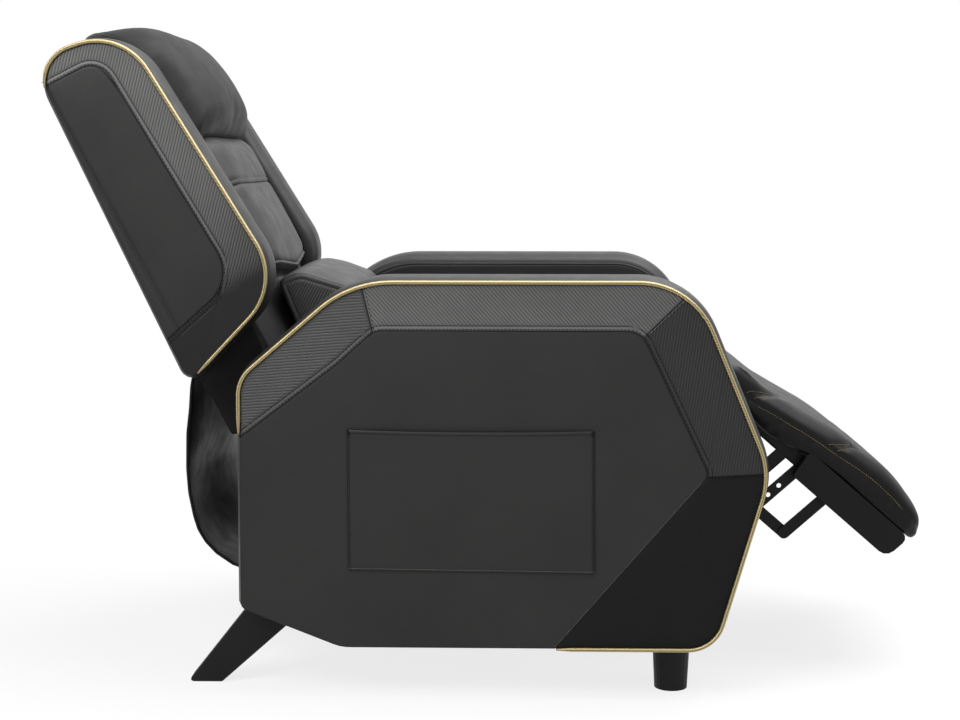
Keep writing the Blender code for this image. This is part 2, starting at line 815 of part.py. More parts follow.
def headrest_shape(place, part):
    """Rounds the headrest over its top."""
    forward = (part[0] + 1) / 2
    if part[2] > 0:
        place[2] -= (0.014 * (1 - forward) ** 2 + 0.044 * forward**2) * part[2] ** 2
    if part[0] > 0:
        place[0] -= 0.030 * max(0.0, part[2]) ** 2 * part[0]
    return place


for name, low, high, front, half, crown in PADS:
    cushion(
        name,
        recline_axis,
        (PAD_REAR, -half, low),
        (front, half, high),
        PAD_CUTS,
        0,
        crown,
        0.015,
        shape=headrest_shape if name == "headrest_pad" else None,
    )


def pillow_shape(place, part):
    """Draws the ends of the pillow in to their seams."""
    end = abs(part[1])
    pull = 1 - 0.16 * end**4
    middle_x = (PILLOW_REAR + PILLOW_FRONT) / 2
    middle_z = (PILLOW_LOW + PILLOW_HIGH) / 2
    place[0] = middle_x + (place[0] - middle_x) * pull
    place[2] = middle_z + (place[2] - middle_z) * pull
    return place


PILLOW_REAR = 0.1121
PILLOW_FRONT = 0.236
PILLOW_LOW = 0.058
PILLOW_HIGH = 0.200
PILLOW_HALF = 0.205
cushion(
    "lumbar_pillow",
    recline_axis,
    (PILLOW_REAR, -PILLOW_HALF, PILLOW_LOW),
    (PILLOW_FRONT, PILLOW_HALF, PILLOW_HIGH),
    ((-0.3, 0.4), (-0.9, -0.45, 0.0, 0.45, 0.9), (-0.5, 0.5)),
    0,
    0.014,
    0.0,
    shape=pillow_shape,
)

# Footrest, in its own frame: x runs along the brackets from the hinge and z is square to them
box_panel_low = LINK_HALF + FIT
box = slab(
    "footrest_box",
    footrest_axis,
    (
        (BOX_START + 0.006, BOX_LOW, 0.006),
        (BOX_END - 0.006, BOX_LOW, 0.018),
        (BOX_END, BOX_TOP, 0.012),
        (BOX_START, BOX_TOP, 0.006),
    ),
    -BOX_HALF,
    BOX_HALF,
    LEATHER,
    3,
)
box_space = block(
    "footrest_box_space",
    footrest_axis,
    (BOX_START - 0.02, -(BOX_HALF - BOX_WALL), BOX_LOW - 0.02),
    (BOX_END - BOX_WALL, BOX_HALF - BOX_WALL, box_panel_low),
    None,
)
combine(box, box_space, "DIFFERENCE")
FOOT_CUSHION_START = KNEE_RADIUS + KNEE_GAP
FOOT_PLEATS = (-0.62, 0.02)


def foot_shape(place, part):
    """Thins the cushion toward the knee and rounds the toe end."""
    share = (part[0] + 1) / 2
    toe = max(0.0, share - 0.7) / 0.3
    if part[2] > 0:
        place[2] -= (0.026 * (1 - share) ** 3 + 0.024 * toe**2) * part[2]
    if part[2] < 0:
        place[0] -= 0.024 * toe**2
    place[0] -= 0.014 * toe * part[1] ** 4
    return place


cushion(
    "footrest_cushion",
    footrest_axis,
    (FOOT_CUSHION_START, -(BOX_HALF - 0.001), BOX_TOP + FIT),
    (FOOT_CUSHION_END, BOX_HALF - 0.001, FOOT_CUSHION_TOP + 0.010),
    ((-0.80, -0.62, -0.44, -0.16, 0.02, 0.20, 0.55, 0.85), (-0.85, -0.4, 0.0, 0.4, 0.85), (-0.5, 0.5)),
    2,
    0.010,
    0.008,
    [(0, position, 0.008) for position in FOOT_PLEATS],
    shape=foot_shape,
)
for side, sign in SIDES:
    inner = sign * BRACKET_INNER
    outer = sign * BRACKET_OUTER
    through = (inner - sign * 0.01, outer + sign * 0.01)
    bracket = slab(
        side + "_footrest_bracket",
        footrest_axis,
        bar_corners(0.0, LINK_STATIONS[-1][1] + 0.015, LINK_HALF),
        inner,
        outer,
        STEEL,
        4,
    )
    drill(bracket, footrest_axis, (0.0, 0.0), HINGE_RADIUS + PIN_FIT, *through)
    for _, station in LINK_STATIONS:
        drill(bracket, footrest_axis, (station, 0.0), PIN_RADIUS + PIN_FIT, *through)

# Swing links, joined by a torque tube
for side, sign in SIDES:
    inner = sign * SWING_INNER
    outer = sign * SWING_OUTER
    through = (inner - sign * 0.01, outer + sign * 0.01)
    link = slab(
        side + "_swing_link",
        swing_axis,
        bar_corners(0.0, LINK_STATIONS[-1][1], LINK_HALF),
        inner,
        outer,
        STEEL,
        4,
    )
    drill(link, swing_axis, (0.0, 0.0), PIN_RADIUS + PIN_FIT, *through)
    for _, station in LINK_STATIONS:
        drill(link, swing_axis, (station, 0.0), PIN_RADIUS + PIN_FIT, *through)
torque_reach = SWING_INNER - FIT
rod("torque_tube", swing_axis, (TORQUE_STATION, 0.0), -torque_reach, torque_reach, LINK_HALF, STEEL)

# Upper, middle and lower links between the swing links and the brackets
HOLE_RADIUS = 0.004
HOLE_STATIONS = (0.030, 0.053)
for name, station in LINK_STATIONS:
    foot_x = SWING_PIVOT[0] + station * cos(radians(FOOT_ANGLE))
    foot_z = SWING_PIVOT[1] - station * sin(radians(FOOT_ANGLE))
    link_axis = make_pivot(name + "_link_axis", (foot_x, foot_z), -LINK_ANGLE, origin)
    for side, sign in SIDES:
        inner = sign * LINK_INNER
        outer = sign * LINK_OUTER
        link = slab(
            "%s_%s_link" % (side, name),
            link_axis,
            bar_corners(0.0, LINK_LENGTH, LINK_HALF),
            inner,
            outer,
            STEEL,
            4,
        )
        add_pin(link, link_axis, (0.0, 0.0), PIN_RADIUS, sign * (SWING_INNER - 0.001), inner + sign * 0.001)
        add_pin(
            link,
            link_axis,
            (LINK_LENGTH, 0.0),
            PIN_RADIUS,
            outer - sign * 0.001,
            sign * (BRACKET_OUTER - FIT),
        )
        if name == "middle":
            for hole in HOLE_STATIONS:
                drill(link, link_axis, (hole, 0.0), HOLE_RADIUS, inner - sign * 0.01, outer + sign * 0.01)

# Origin at the middle of the footprint
bpy.context.view_layer.update()
depsgraph = bpy.context.evaluated_depsgraph_get()
reach = []
for piece in pieces.objects:
    if piece.type == "MESH":
        shape = piece.evaluated_get(depsgraph)
        reach += [(shape.matrix_world @ vert.co).x for vert in shape.data.vertices]
origin.location.x = -(min(reach) + max(reach)) / 2
bpy.context.view_layer.update()
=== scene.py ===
"""Looks of the reclining gaming chair: upholstery, seams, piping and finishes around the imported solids."""

import json
from math import acos, cos, pi, radians, sin, tan

import bmesh
import bpy
import numpy as np
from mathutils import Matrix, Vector, kdtree


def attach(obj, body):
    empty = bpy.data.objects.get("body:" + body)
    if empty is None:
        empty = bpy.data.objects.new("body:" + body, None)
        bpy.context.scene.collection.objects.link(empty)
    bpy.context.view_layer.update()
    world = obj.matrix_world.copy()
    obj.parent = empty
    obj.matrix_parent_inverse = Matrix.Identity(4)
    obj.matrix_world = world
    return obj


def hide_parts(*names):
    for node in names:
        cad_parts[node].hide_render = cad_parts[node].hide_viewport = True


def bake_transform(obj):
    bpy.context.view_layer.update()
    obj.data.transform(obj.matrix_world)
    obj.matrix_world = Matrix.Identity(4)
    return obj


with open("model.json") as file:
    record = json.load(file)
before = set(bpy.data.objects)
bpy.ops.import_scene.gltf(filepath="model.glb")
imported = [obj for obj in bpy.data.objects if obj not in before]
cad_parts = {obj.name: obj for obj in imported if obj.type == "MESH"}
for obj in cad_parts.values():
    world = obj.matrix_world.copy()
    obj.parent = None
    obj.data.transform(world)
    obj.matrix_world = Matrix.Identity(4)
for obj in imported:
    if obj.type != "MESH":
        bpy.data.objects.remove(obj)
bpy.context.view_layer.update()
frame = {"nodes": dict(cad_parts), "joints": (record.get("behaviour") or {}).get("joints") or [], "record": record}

# Frames: the base is drawn in x and z, the back and the footrest along and square to their own lines
joints = {joint["name"]: joint for joint in frame["joints"]}
recline_pivot = np.array(joints["recline"]["pos_m"])
foot_hinge = np.array(joints["footrest_swing"]["pos_m"])
DRAWN_PIVOT_X = -0.380
BACK_TILT = radians(28.0)
FOOT_ANGLE = radians(41.0)
shift = recline_pivot[0] - DRAWN_PIVOT_X
SIDES = (("right", -1), ("left", 1))


def on_base(spots):
    """World points from points drawn in the base's frame: x, side and z."""
    return np.asarray(spots) + (shift, 0.0, 0.0)


def on_back(spots):
    """World points from points drawn in the back's frame: ahead, side and up."""
    ahead, side, up = np.asarray(spots).T
    x = recline_pivot[0] + ahead * cos(BACK_TILT) - up * sin(BACK_TILT)
    z = recline_pivot[2] + ahead * sin(BACK_TILT) + up * cos(BACK_TILT)
    return np.stack((x, side, z), axis=1)


def on_foot(spots):
    """World points from points drawn in the footrest's frame: along, side and above."""
    along, side, above = np.asarray(spots).T
    x = foot_hinge[0] + along * cos(FOOT_ANGLE) + above * sin(FOOT_ANGLE)
    z = foot_hinge[2] - along * sin(FOOT_ANGLE) + above * cos(FOOT_ANGLE)
    return np.stack((x, side, z), axis=1)


# Materials
GRAIN_ENDS = (0.3, 0.7)
# Painted shade: the colour that the point attribute shade mixes into the faux leather
PAINTED_SHADE_COLOUR = (0.0035, 0.0035, 0.0035, 1.0)
PATCH_SCALE = 9.0
WEAR_SCALE = 35.0
PEBBLE_SCALE = 900.0
PLAIN_GLOSS = 0.15


def feed(tree, node, inputs):
    """Sets a node's inputs, which are given as values or as the outputs of other nodes."""
    for name, value in inputs.items():
        if isinstance(value, bpy.types.NodeSocket):
            tree.links.new(value, node.inputs[name])
        else:
            node.inputs[name].default_value = value


def add_node(tree, kind, inputs=None, **settings):
    """Adds a node with its settings and inputs and returns its outputs."""
    node = tree.nodes.new(kind)
    for name, value in settings.items():
        setattr(node, name, value)
    feed(tree, node, inputs or {})
    return node.outputs


def start_material(name):
    """A new material, its node tree, its shader and the piece's own coordinates."""
    material = bpy.data.materials.new(name)
    material.use_nodes = True
    tree = material.node_tree
    return material, tree, tree.nodes["Principled BSDF"], add_node(tree, "ShaderNodeTexCoord")["Object"]


def add_noise(tree, space, scale):
    return add_node(tree, "ShaderNodeTexNoise", {"Scale": scale, "Detail": 4.0, "Vector": space})["Fac"]


def add_range(tree, source, low, high, ends=GRAIN_ENDS):
    inputs = {"Value": source, "From Min": ends[0], "From Max": ends[1], "To Min": low, "To Max": high}
    return add_node(tree, "ShaderNodeMapRange", inputs)["Result"]


def add_colours(tree, source, dark, pale):
    ramp = tree.nodes.new("ShaderNodeValToRGB")
    for element, position, colour in zip(ramp.color_ramp.elements, GRAIN_ENDS, (dark, pale)):
        element.position = position
        element.color = (*colour, 1.0)
    tree.links.new(source, ramp.inputs["Fac"])
    return ramp.outputs["Color"]


def add_bump(tree, height, strength, depth):
    inputs = {"Height": height, "Strength": strength, "Distance": depth}
    return add_node(tree, "ShaderNodeBump", inputs)["Normal"]


def add_math(tree, operation, first, second):
    return add_node(tree, "ShaderNodeMath", {0: first, 1: second}, operation=operation)["Value"]


def shades(colour, spread):
    return [part * (1 - spread) for part in colour], [part * (1 + spread) for part in colour]


def leather(name, colour, roughness, gloss):
    """Faux leather with a pebbled grain; the point attribute shade paints shade into seams, grooves, folds and rib
    valleys, and over whole dimmed strips.
    """
    material, tree, shader, space = start_material(name)
    colours = add_colours(tree, add_noise(tree, space, PATCH_SCALE), *shades(colour, 0.10))
    shade = add_node(tree, "ShaderNodeAttribute", attribute_name="shade")["Fac"]
    darkened = {"Factor": shade, "A": colours, "B": PAINTED_SHADE_COLOUR}
    wear = add_noise(tree, space, WEAR_SCALE)
    grain = add_node(tree, "ShaderNodeTexVoronoi", {"Scale": PEBBLE_SCALE, "Vector": space})["Distance"]
    inputs = {
        "Base Color": add_node(tree, "ShaderNodeMix", darkened, data_type="RGBA")["Result"],
        "Roughness": add_range(tree, wear, roughness - 0.05, roughness + 0.06),
        "Normal": add_bump(tree, grain, 0.16, 0.0006),
        "Specular IOR Level": gloss,
    }
    feed(tree, shader, inputs)
    return material


def plain_finish(name, colour, roughness, metallic, scale, bump, depth):
    """A finish with fine uneven colour, gloss and surface."""
    material, tree, shader, space = start_material(name)
    fine = add_noise(tree, space, scale)
    broad = add_noise(tree, space, scale / 20)
    inputs = {
        "Base Color": add_colours(tree, broad, *shades(colour, 0.12)),
        "Roughness": add_range(tree, broad, roughness - 0.06, roughness + 0.06),
        "Normal": add_bump(tree, fine, bump, depth),
        "Metallic": metallic,
        "Specular IOR Level": PLAIN_GLOSS,
    }
    feed(tree, shader, inputs)
    return material


def plywood_finish():
    """Pale plywood with long grain and darker plies."""
    material, tree, shader, space = start_material("plywood")
    waves = {"Scale": 25.0, "Distortion": 6.0, "Detail": 3.0, "Vector": space}
    grain = add_node(tree, "ShaderNodeTexWave", waves)["Fac"]
    inputs = {
        "Base Color": add_colours(tree, grain, (0.30, 0.20, 0.11), (0.46, 0.33, 0.20)),
        "Roughness": 0.65,
        "Normal": add_bump(tree, grain, 0.2, 0.0005),
    }
    feed(tree, shader, inputs)
    return material


def gold_cord():
    """Gold cord wrapped in a fine slanting thread."""
    material, tree, shader, space = start_material("gold_cord")
    waves = {"Scale": 260.0, "Distortion": 0.4, "Vector": space}
    wrap = add_node(tree, "ShaderNodeTexWave", waves, bands_direction="DIAGONAL")["Fac"]
    inputs = {
        "Base Color": add_colours(tree, wrap, (0.26, 0.20, 0.085), (0.52, 0.43, 0.24)),
        "Roughness": add_range(tree, add_noise(tree, space, 60.0), 0.28, 0.42),
        "Normal": add_bump(tree, wrap, 0.35, 0.0004),
        "Metallic": 0.7,
    }
    feed(tree, shader, inputs)
    return material


LEATHER = leather("faux_leather", (0.0165, 0.0165, 0.0162), 0.46, 0.21)
# Painted light: the lumbar pillow gets a lighter copy of the faux leather, for its brightly lit top
PILLOW_LIT_LEATHER = leather("pad_faux_leather", (0.0225, 0.0225, 0.0220), 0.43, 0.23)
# Painted light: the back pads get a slightly lighter copy of the faux leather
BACK_LIT_LEATHER = leather("back_pad_faux_leather", (0.0170, 0.0170, 0.0166), 0.44, 0.19)
# Painted shade: the headrest gets a darker copy of the faux leather, as it catches less light
HEAD_SHADED_LEATHER = leather("headrest_faux_leather", (0.0068, 0.0068, 0.0066), 0.50, 0.12)
DARK_LEATHER = leather("dark_faux_leather", (0.0048, 0.0048, 0.0047), 0.42, 0.14)
SKIRT_LEATHER = leather("skirt_faux_leather", (0.0048, 0.0048, 0.0047), 0.45, 0.12)
MATT_LEATHER = leather("matt_faux_leather", (0.0078, 0.0078, 0.0077), 0.55, 0.09)
# Painted light: the ribbed leather is as light as its best lit strips, and each strip's dim shades the others
RIBBED = leather("ribbed_faux_leather", (0.110, 0.110, 0.1085), 0.42, 0.25)
GOLD = gold_cord()
THREAD_GRAIN = (2500.0, 0.5, 0.0003)
DARK_THREAD = plain_finish("dark_thread", (0.003, 0.003, 0.003), 0.6, 0.0, *THREAD_GRAIN)
GREY_THREAD = plain_finish("grey_thread", (0.16, 0.155, 0.145), 0.6, 0.0, *THREAD_GRAIN)
PIPING_THREAD = plain_finish("piping_thread", (0.10, 0.075, 0.028), 0.6, 0.0, *THREAD_GRAIN)
GOLD_THREAD = plain_finish("gold_thread", (0.26, 0.20, 0.08), 0.55, 0.0, *THREAD_GRAIN)
STEEL = plain_finish("black_steel", (0.005, 0.005, 0.005), 0.40, 0.0, 700.0, 0.25, 0.0003)
SPRING_STEEL = plain_finish("spring_steel", (0.36, 0.36, 0.37), 0.33, 1.0, 900.0, 0.1, 0.0002)
BLACK_WOOD = plain_finish("black_leg", (0.008, 0.008, 0.008), 0.5, 0.0, 420.0, 0.25, 0.0004)
PLYWOOD = plywood_finish()

SLOT_FINISH = {
    "padded_faux_leather": LEATHER,
    "faux_leather_sheet": DARK_LEATHER,
    "wrapped_board": DARK_LEATHER,
    "gold_piping": GOLD,
    "plywood": PLYWOOD,
    "black_steel": STEEL,
    "spring_steel": SPRING_STEEL,
    "black_leg": BLACK_WOOD,
}


# Mesh tools
MERGE_GAP = 0.00002
THIN_EDGE = 0.00001
PEAK_STEP = 0.00002
LEAST_SINE = 0.3


def add_object(name, data):
    piece = bpy.data.objects.new(name, data)
    bpy.context.scene.collection.objects.link(piece)
    return piece


def add_mesh(name, points, faces, material):
    """A smooth mesh object from world points, with doubled points merged and its faces turned outwards."""
    form = bmesh.new()
    corners = [form.verts.new(tuple(point)) for point in points]
    for face in faces:
        form.faces.new([corners[index] for index in face])
    bmesh.ops.remove_doubles(form, verts=form.verts, dist=MERGE_GAP)
    bmesh.ops.dissolve_degenerate(form, edges=form.edges, dist=THIN_EDGE)
    bmesh.ops.recalc_face_normals(form, faces=form.faces)
    if form.calc_volume(signed=True) < 0:
        bmesh.ops.reverse_faces(form, faces=form.faces)
    mesh = bpy.data.meshes.new(name)
    form.to_mesh(mesh)
    form.free()
    mesh.polygons.foreach_set("use_smooth", [True] * len(mesh.polygons))
    mesh.materials.append(material)
    return add_object(name, mesh)


def dress(piece, body, nodes=()):
    """Puts a finished piece on its body, with the nodes that it stands for."""
    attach(piece, body)
    if nodes:
        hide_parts(*nodes)


def rounded(corners, steps=12, closed=True):
    """Points along a polygon or an open line whose corners are (a, b, radius)."""
    path = []
    count = len(corners)
    for index, (a, b, *rest) in enumerate(corners):
        radius = rest[0] if rest else 0.0
        here = Vector((a, b))
        inside = closed or 0 < index < count - 1
        if not radius or not inside:
            path.append((a, b))
            continue
        before = (here - Vector(corners[index - 1][:2])).normalized()
        after = (Vector(corners[(index + 1) % count][:2]) - here).normalized()
        normal = Vector((before.y, -before.x))
        side = 1.0 if before.x * after.y - before.y * after.x > 0 else -1.0
        bend = acos(max(-1.0, min(1.0, before.dot(after))))
        centre = here - before * radius * tan(bend / 2) - normal * radius * side
        for step in range(steps + 1):
            angle = side * bend * step / steps
            x = normal.x * cos(angle) - normal.y * sin(angle)
            y = normal.x * sin(angle) + normal.y * cos(angle)
            spot = centre + Vector((x, y)) * radius * side
            path.append((spot.x, spot.y))
    return np.array(path)


def spaced(path, step, closed=False):
    """The same line with points a given step apart."""
    path = np.asarray(path, float)
    if closed:
        path = np.vstack((path, path[:1]))
    lengths = np.linalg.norm(np.diff(path, axis=0), axis=1)
    run = np.concatenate(([0.0], np.cumsum(lengths)))
    count = max(2, int(round(run[-1] / step)) + 1)
    stations = np.linspace(0.0, run[-1], count)
    line = np.stack([np.interp(stations, run, path[:, axis]) for axis in range(path.shape[1])], axis=1)
    return line[:-1] if closed else line


def closed_line(outline):
    return np.vstack((outline, outline[:1]))


def closed_outline(corners, step, steps=8):
    """A closed outline with rounded corners and points a given step apart."""
    return spaced(rounded(corners, steps), step, closed=True)


def quarter_turn(steps):
    return [pi / 2 * step / steps for step in range(steps + 1)]


def upright(line, side):
    """Points (a, side, b) of a line that is drawn in a side view."""
    line = np.asarray(line)
    return np.stack((line[:, 0], np.broadcast_to(side, len(line)), line[:, 1]), axis=1)


def directions_of(line):
    along = np.gradient(line, axis=0)
    return along / np.linalg.norm(along, axis=1)[:, None]


def beside(line, offset):
    """A line beside another, to its left."""
    along = directions_of(line)
    return line + offset * np.stack((-along[:, 1], along[:, 0]), axis=1)


def normals_of(outline):
    """Outward normals of an anticlockwise closed outline."""
    along = np.roll(outline, -1, axis=0) - np.roll(outline, 1, axis=0)
    along /= np.linalg.norm(along, axis=1)[:, None]
    return np.stack((along[:, 1], -along[:, 0]), axis=1)


def nearest(line, spot):
    """The index of the point of a line that is nearest to a spot."""
    return int(np.argmin(np.linalg.norm(line - np.array(spot), axis=1)))


def between(outline, start, end):
    """The stretch of an anticlockwise closed outline from the point nearest start to that nearest end."""
    first = nearest(outline, start)
    last = nearest(outline, end)
    if last < first:
        last += len(outline)
    return outline[np.arange(first, last + 1) % len(outline)]


def distance(spots, line):
    """How far each spot is from an open line."""
    least = np.full(len(spots), 1.0)
    for start, end in zip(line, line[1:]):
        run = end - start
        share = np.clip((spots - start) @ run / max(run @ run, 1e-12), 0.0, 1.0)
        least = np.minimum(least, np.linalg.norm(spots - start - share[:, None] * run, axis=1))
    return least


def rolled(gap, width, height):
    """A rounded edge: how high a padded surface is at a distance from its seam."""
    share = np.clip(gap / width, 0.0, 1.0)
    return height * np.sqrt(1 - (1 - share) ** 2)


def eased(value, low, high):
    share = np.clip((value - low) / (high - low), 0.0, 1.0)
    return share * share * (3 - 2 * share)


def smooth_table(xs, ys, count=200):
    """A smooth curve through given values, as a finer table."""
    xs = np.array(xs, float)
    ys = np.array(ys, float)
    slopes = np.gradient(ys, xs)
    fine = np.linspace(xs[0], xs[-1], count)
    index = np.clip(np.searchsorted(xs, fine, side="right") - 1, 0, len(xs) - 2)
    width = xs[index + 1] - xs[index]
    share = (fine - xs[index]) / width
    start = (1 + 2 * share) * (1 - share) ** 2 * ys[index] + share * (1 - share) ** 2 * width * slopes[index]
    end = share**2 * (3 - 2 * share) * ys[index + 1] + share**2 * (share - 1) * width * slopes[index + 1]
    return fine, start + end


def crossings(outline, level):
    """Where a level line crosses a closed outline, with the sine of the angle of each crossing."""
    after = np.roll(outline, -1, axis=0)
    low = outline[:, 1] - level
    high = after[:, 1] - level
    hit = (low <= 0) != (high <= 0)
    share = low[hit] / (low[hit] - high[hit])
    along = outline[hit, 0] + share * (after[hit, 0] - outline[hit, 0])
    run = after[hit] - outline[hit]
    sine = np.abs(run[:, 1]) / np.linalg.norm(run, axis=1)
    order = np.argsort(along)
    return along[order], np.maximum(sine[order], LEAST_SINE)


EDGE_STEPS = np.array((0.0, 0.0007, 0.0016, 0.003, 0.005, 0.0066, 0.0075, 0.0084, 0.0105, 0.014))


def ruled_grids(outline, angle, levels, inner):
    """Grids of points inside a closed outline, in rows along an angle, with close points at the edges."""
    turn = np.array(((cos(angle), -sin(angle)), (sin(angle), cos(angle))))
    flat = outline @ turn
    heights = flat[:, 1]
    peaks = (heights - np.roll(heights, 1)) * (np.roll(heights, -1) - heights) <= 0
    extra = np.concatenate((heights[peaks] - PEAK_STEP, heights[peaks] + PEAK_STEP))
    levels = np.unique(np.concatenate((levels, extra)))
    grids = []
    row_length = None
    for level in levels:
        along, sine = crossings(flat, level)
        if len(along) != row_length:
            grids.append([])
        row_length = len(along)
        spans = []
        for index in range(0, len(along) - 1, 2):
            start, end = along[index : index + 2]
            near = EDGE_STEPS / sine[index]
            far = EDGE_STEPS / sine[index + 1]
            fit = min(1.0, 0.9 * (end - start) / (near[-1] + far[-1]))
            middle = np.linspace(start + near[-1] * fit, end - far[-1] * fit, inner + 2)[1:-1]
            spot = np.concatenate((start + near * fit, middle, (end - far * fit)[::-1]))
            spans.append(np.stack((spot, np.full(len(spot), level)), axis=1) @ turn.T)
        grids[-1].append(spans)
    found = []
    for group in grids:
        if len(group) < 2:
            continue
        for index in range(len(group[0])):
            found.append(np.array([spans[index] for spans in group]))
    return found


def grid_faces(rows, columns, base=0):
    """Faces of a grid of points, and the points round its rim in order."""
    faces = []
    for row in range(rows - 1):
        for column in range(columns - 1):
            corner = base + row * columns + column
            faces.append((corner, corner + 1, corner + columns + 1, corner + columns))
    rim = [base + column for column in range(columns)]
    rim += [base + row * columns + columns - 1 for row in range(1, rows)]
    rim += [base + (rows - 1) * columns + column for column in range(columns - 2, -1, -1)]
    rim += [base + row * columns for row in range(rows - 2, 0, -1)]
    return faces, rim


def wall_faces(rim, other):
    """Faces between two closed rims with the same number of points."""
    following = [*range(1, len(rim)), 0]
    return [(rim[here], rim[then], other[then], other[here]) for here, then in enumerate(following)]


def sheet_faces(rows, columns):
    """Faces of a thin closed sheet whose points are two equal grids, one behind the other."""
    size = rows * columns
    faces, rim = grid_faces(rows, columns)
    back = [tuple(index + size for index in reversed(face)) for face in faces]
    return faces + back + wall_faces(rim, [index + size for index in rim])


def panel(name, outline, angle, levels, inner, lift, place, sign, face, material):
    """A closed padded panel on a side face: lift gives each spot's height above the face and its shade."""
    points = []
    faces = []
    painted_shades = []
    for grid in ruled_grids(outline, angle, levels, inner):
        spots = grid.reshape(-1, 2)
        height, shade = lift(spots)
        front, rim = grid_faces(*grid.shape[:2], len(points))
        points.extend(upright(spots, sign * (face + height)))
        back = list(range(len(points), len(points) + len(rim)))
        buried = sign * (face - PANEL_BURIED)
        points.extend([(points[index][0], buried, points[index][2]) for index in rim])
        # Painted shade: the buried sides are fully shaded
        painted_shades.extend((*shade, *np.ones(len(rim))))
        faces += [*front, *wall_faces(rim, back), tuple(back)]
    spots = place(np.array(points))
    piece = add_mesh(name, spots, faces, material)
    paint_shade(piece, spots, painted_shades)
    return piece


def tree_of(spots):
    """A search tree over spots, which are numbered in their order."""
    tree = kdtree.KDTree(len(spots))
    for index, spot in enumerate(spots):
        tree.insert(spot, index)
    tree.balance()
    return tree


def paint_shade(piece, spots, painted_shades):
    """Gives each vertex the painted shade of the nearest given spot, because doubled points were merged."""
    tree = tree_of(spots)
    values = [painted_shades[tree.find(vertex.co)[1]] for vertex in piece.data.vertices]
    attribute = piece.data.attributes.new("shade", "FLOAT", "POINT")
    attribute.data.foreach_set("value", np.array(values, np.float32))


def loft(name, rings, material):
    """A closed body from rings of world points, with its two ends filled."""
    count = len(rings[0])
    points = np.vstack(rings)
    numbers = np.arange(len(points)).reshape(-1, count).tolist()
    faces = [tuple(numbers[0]), tuple(numbers[-1])]
    for ring, following in zip(numbers, numbers[1:]):
        faces += wall_faces(ring, following)
    return add_mesh(name, points, faces, material)


def padded_body(name, outline, profile, sign, place, material, fade=1.0):
    """A lofted body: profile lists (side, outward offset, share), and share shrinks the outline.

    Fade is the part of an outward offset that is kept, at each point of the outline or at all of them.
    """
    outward = normals_of(outline)
    kept = np.reshape(fade, (-1, 1))
    middle = (outline.min(axis=0) + outline.max(axis=0)) / 2
    rings = []
    for side, offset, share in profile:
        flat = outline + outward * (offset * (kept if offset > 0 else 1.0))
        rings.append(place(upright(middle + (flat - middle) * share, sign * side)))
    return loft(name, rings, material)


CORD_SIDES = 12
CORD_TAPER = 4
CORD_END = 0.45


def cord(name, path, radius, material):
    """A round cord along a line of world points, drawn in at both ends."""
    along = directions_of(path)
    across = np.cross(along, (0.0, 1.0, 0.0))
    across /= np.linalg.norm(across, axis=1)[:, None]
    over = np.cross(across, along)
    turns = np.arange(CORD_SIDES)[:, None] * 2 * pi / CORD_SIDES
    rings = []
    for index, spot in enumerate(path):
        end = min(index, len(path) - 1 - index)
        size = radius * min(1.0, CORD_END + (1 - CORD_END) * end / CORD_TAPER)
        rings.append(spot + size * (np.cos(turns) * across[index] + np.sin(turns) * over[index]))
    return loft(name, rings, material)


THREAD_RAISE = 0.0003
THREAD_FULL = 0.28


def stitches(name, rows, material, pitch=0.0058, length=0.0042, radius=0.0005):
    """Thread along lines of world points; each row is (line, outward direction)."""
    points = []
    faces = []
    for line, outward in rows:
        line = spaced(line, pitch)
        outward = np.array(outward, float)
        for start, end in zip(line, line[1:]):
            along = end - start
            along /= max(np.linalg.norm(along), 1e-9)
            across = np.cross(outward, along)
            across /= max(np.linalg.norm(across), 1e-9)
            middle = (start + end) / 2
            base = len(points)
            points.append(middle - along * length / 2 - outward * radius)
            for reach in (-THREAD_FULL, THREAD_FULL):
                for direction in (across, outward, -across, -outward):
                    points.append(middle + along * length * reach + direction * radius)
            points.append(middle + along * length / 2 - outward * radius)
            for index in range(4):
                here = base + 1 + index
                then = base + 1 + (index + 1) % 4
                faces.append((base, then, here))
                faces.append((here, then, then + 4, here + 4))
                faces.append((base + 9, here + 4, then + 4))
    return add_mesh(name, points, faces, material)


def sew(name, body, rows, material, *sizes, slot="padded_faux_leather"):
    dress(stitches(name, rows, material, *sizes), body)


# Arms
ARM_INNER = 0.2603
ARM_OUTER = 0.390
ARM_FACE = 0.3885
PANEL_BURIED = 0.0055
PIPING_RADIUS = 0.0031
PIPING_SEAM = 0.0005
PIPING_SIDE = 0.0029
ARM_CORNERS = (
    (-0.4025, 0.139, 0.012),
    (-0.248, 0.078, 0.060),
    (0.327, 0.078, 0.055),
    (0.4065, 0.353, 0.125),
    (0.285, 0.6425, 0.122),
    (-0.2285, 0.6425, 0.168),
    (-0.400, 0.4955, 0.055),
)
SEAM_CORNERS = (
    (-0.3990, 0.4055),
    (-0.2511, 0.5170, 0.30),
    (-0.1925, 0.5695, 0.030),
    (0.2096, 0.5695, 0.032),
    (0.3150, 0.3495, 0.016),
    (0.0836, 0.0790),
)
REAR_SEAM_TOP = (-0.2115, 0.6425)
FRONT_SEAM_TOP = (0.2760, 0.6190)
LOW_SEAM_FRONT = (0.4040, 0.3525)
RIB_PITCH = 0.0044
RIB_HEIGHT = 0.0011
RIB_PHASES = np.array((0.0, 0.16, 0.5, 0.84))
RIB_RISE = np.array((0.0, 0.8, 1.0, 0.8))
BAND = 0.0075
REAR_RIBS = radians(4.5)
TOP_RIBS = radians(-47.5)
FRONT_RIBS = radians(81.5)
WING_RIBS = radians(75.0) - BACK_TILT
LOW_RIBS = radians(6.5)
LOW_RIB_REACH = 0.020
RIB_FADE = 0.057
PIPING_SHADOW_WIDTH = 0.0044
PLAIN_SHADE = 0.80
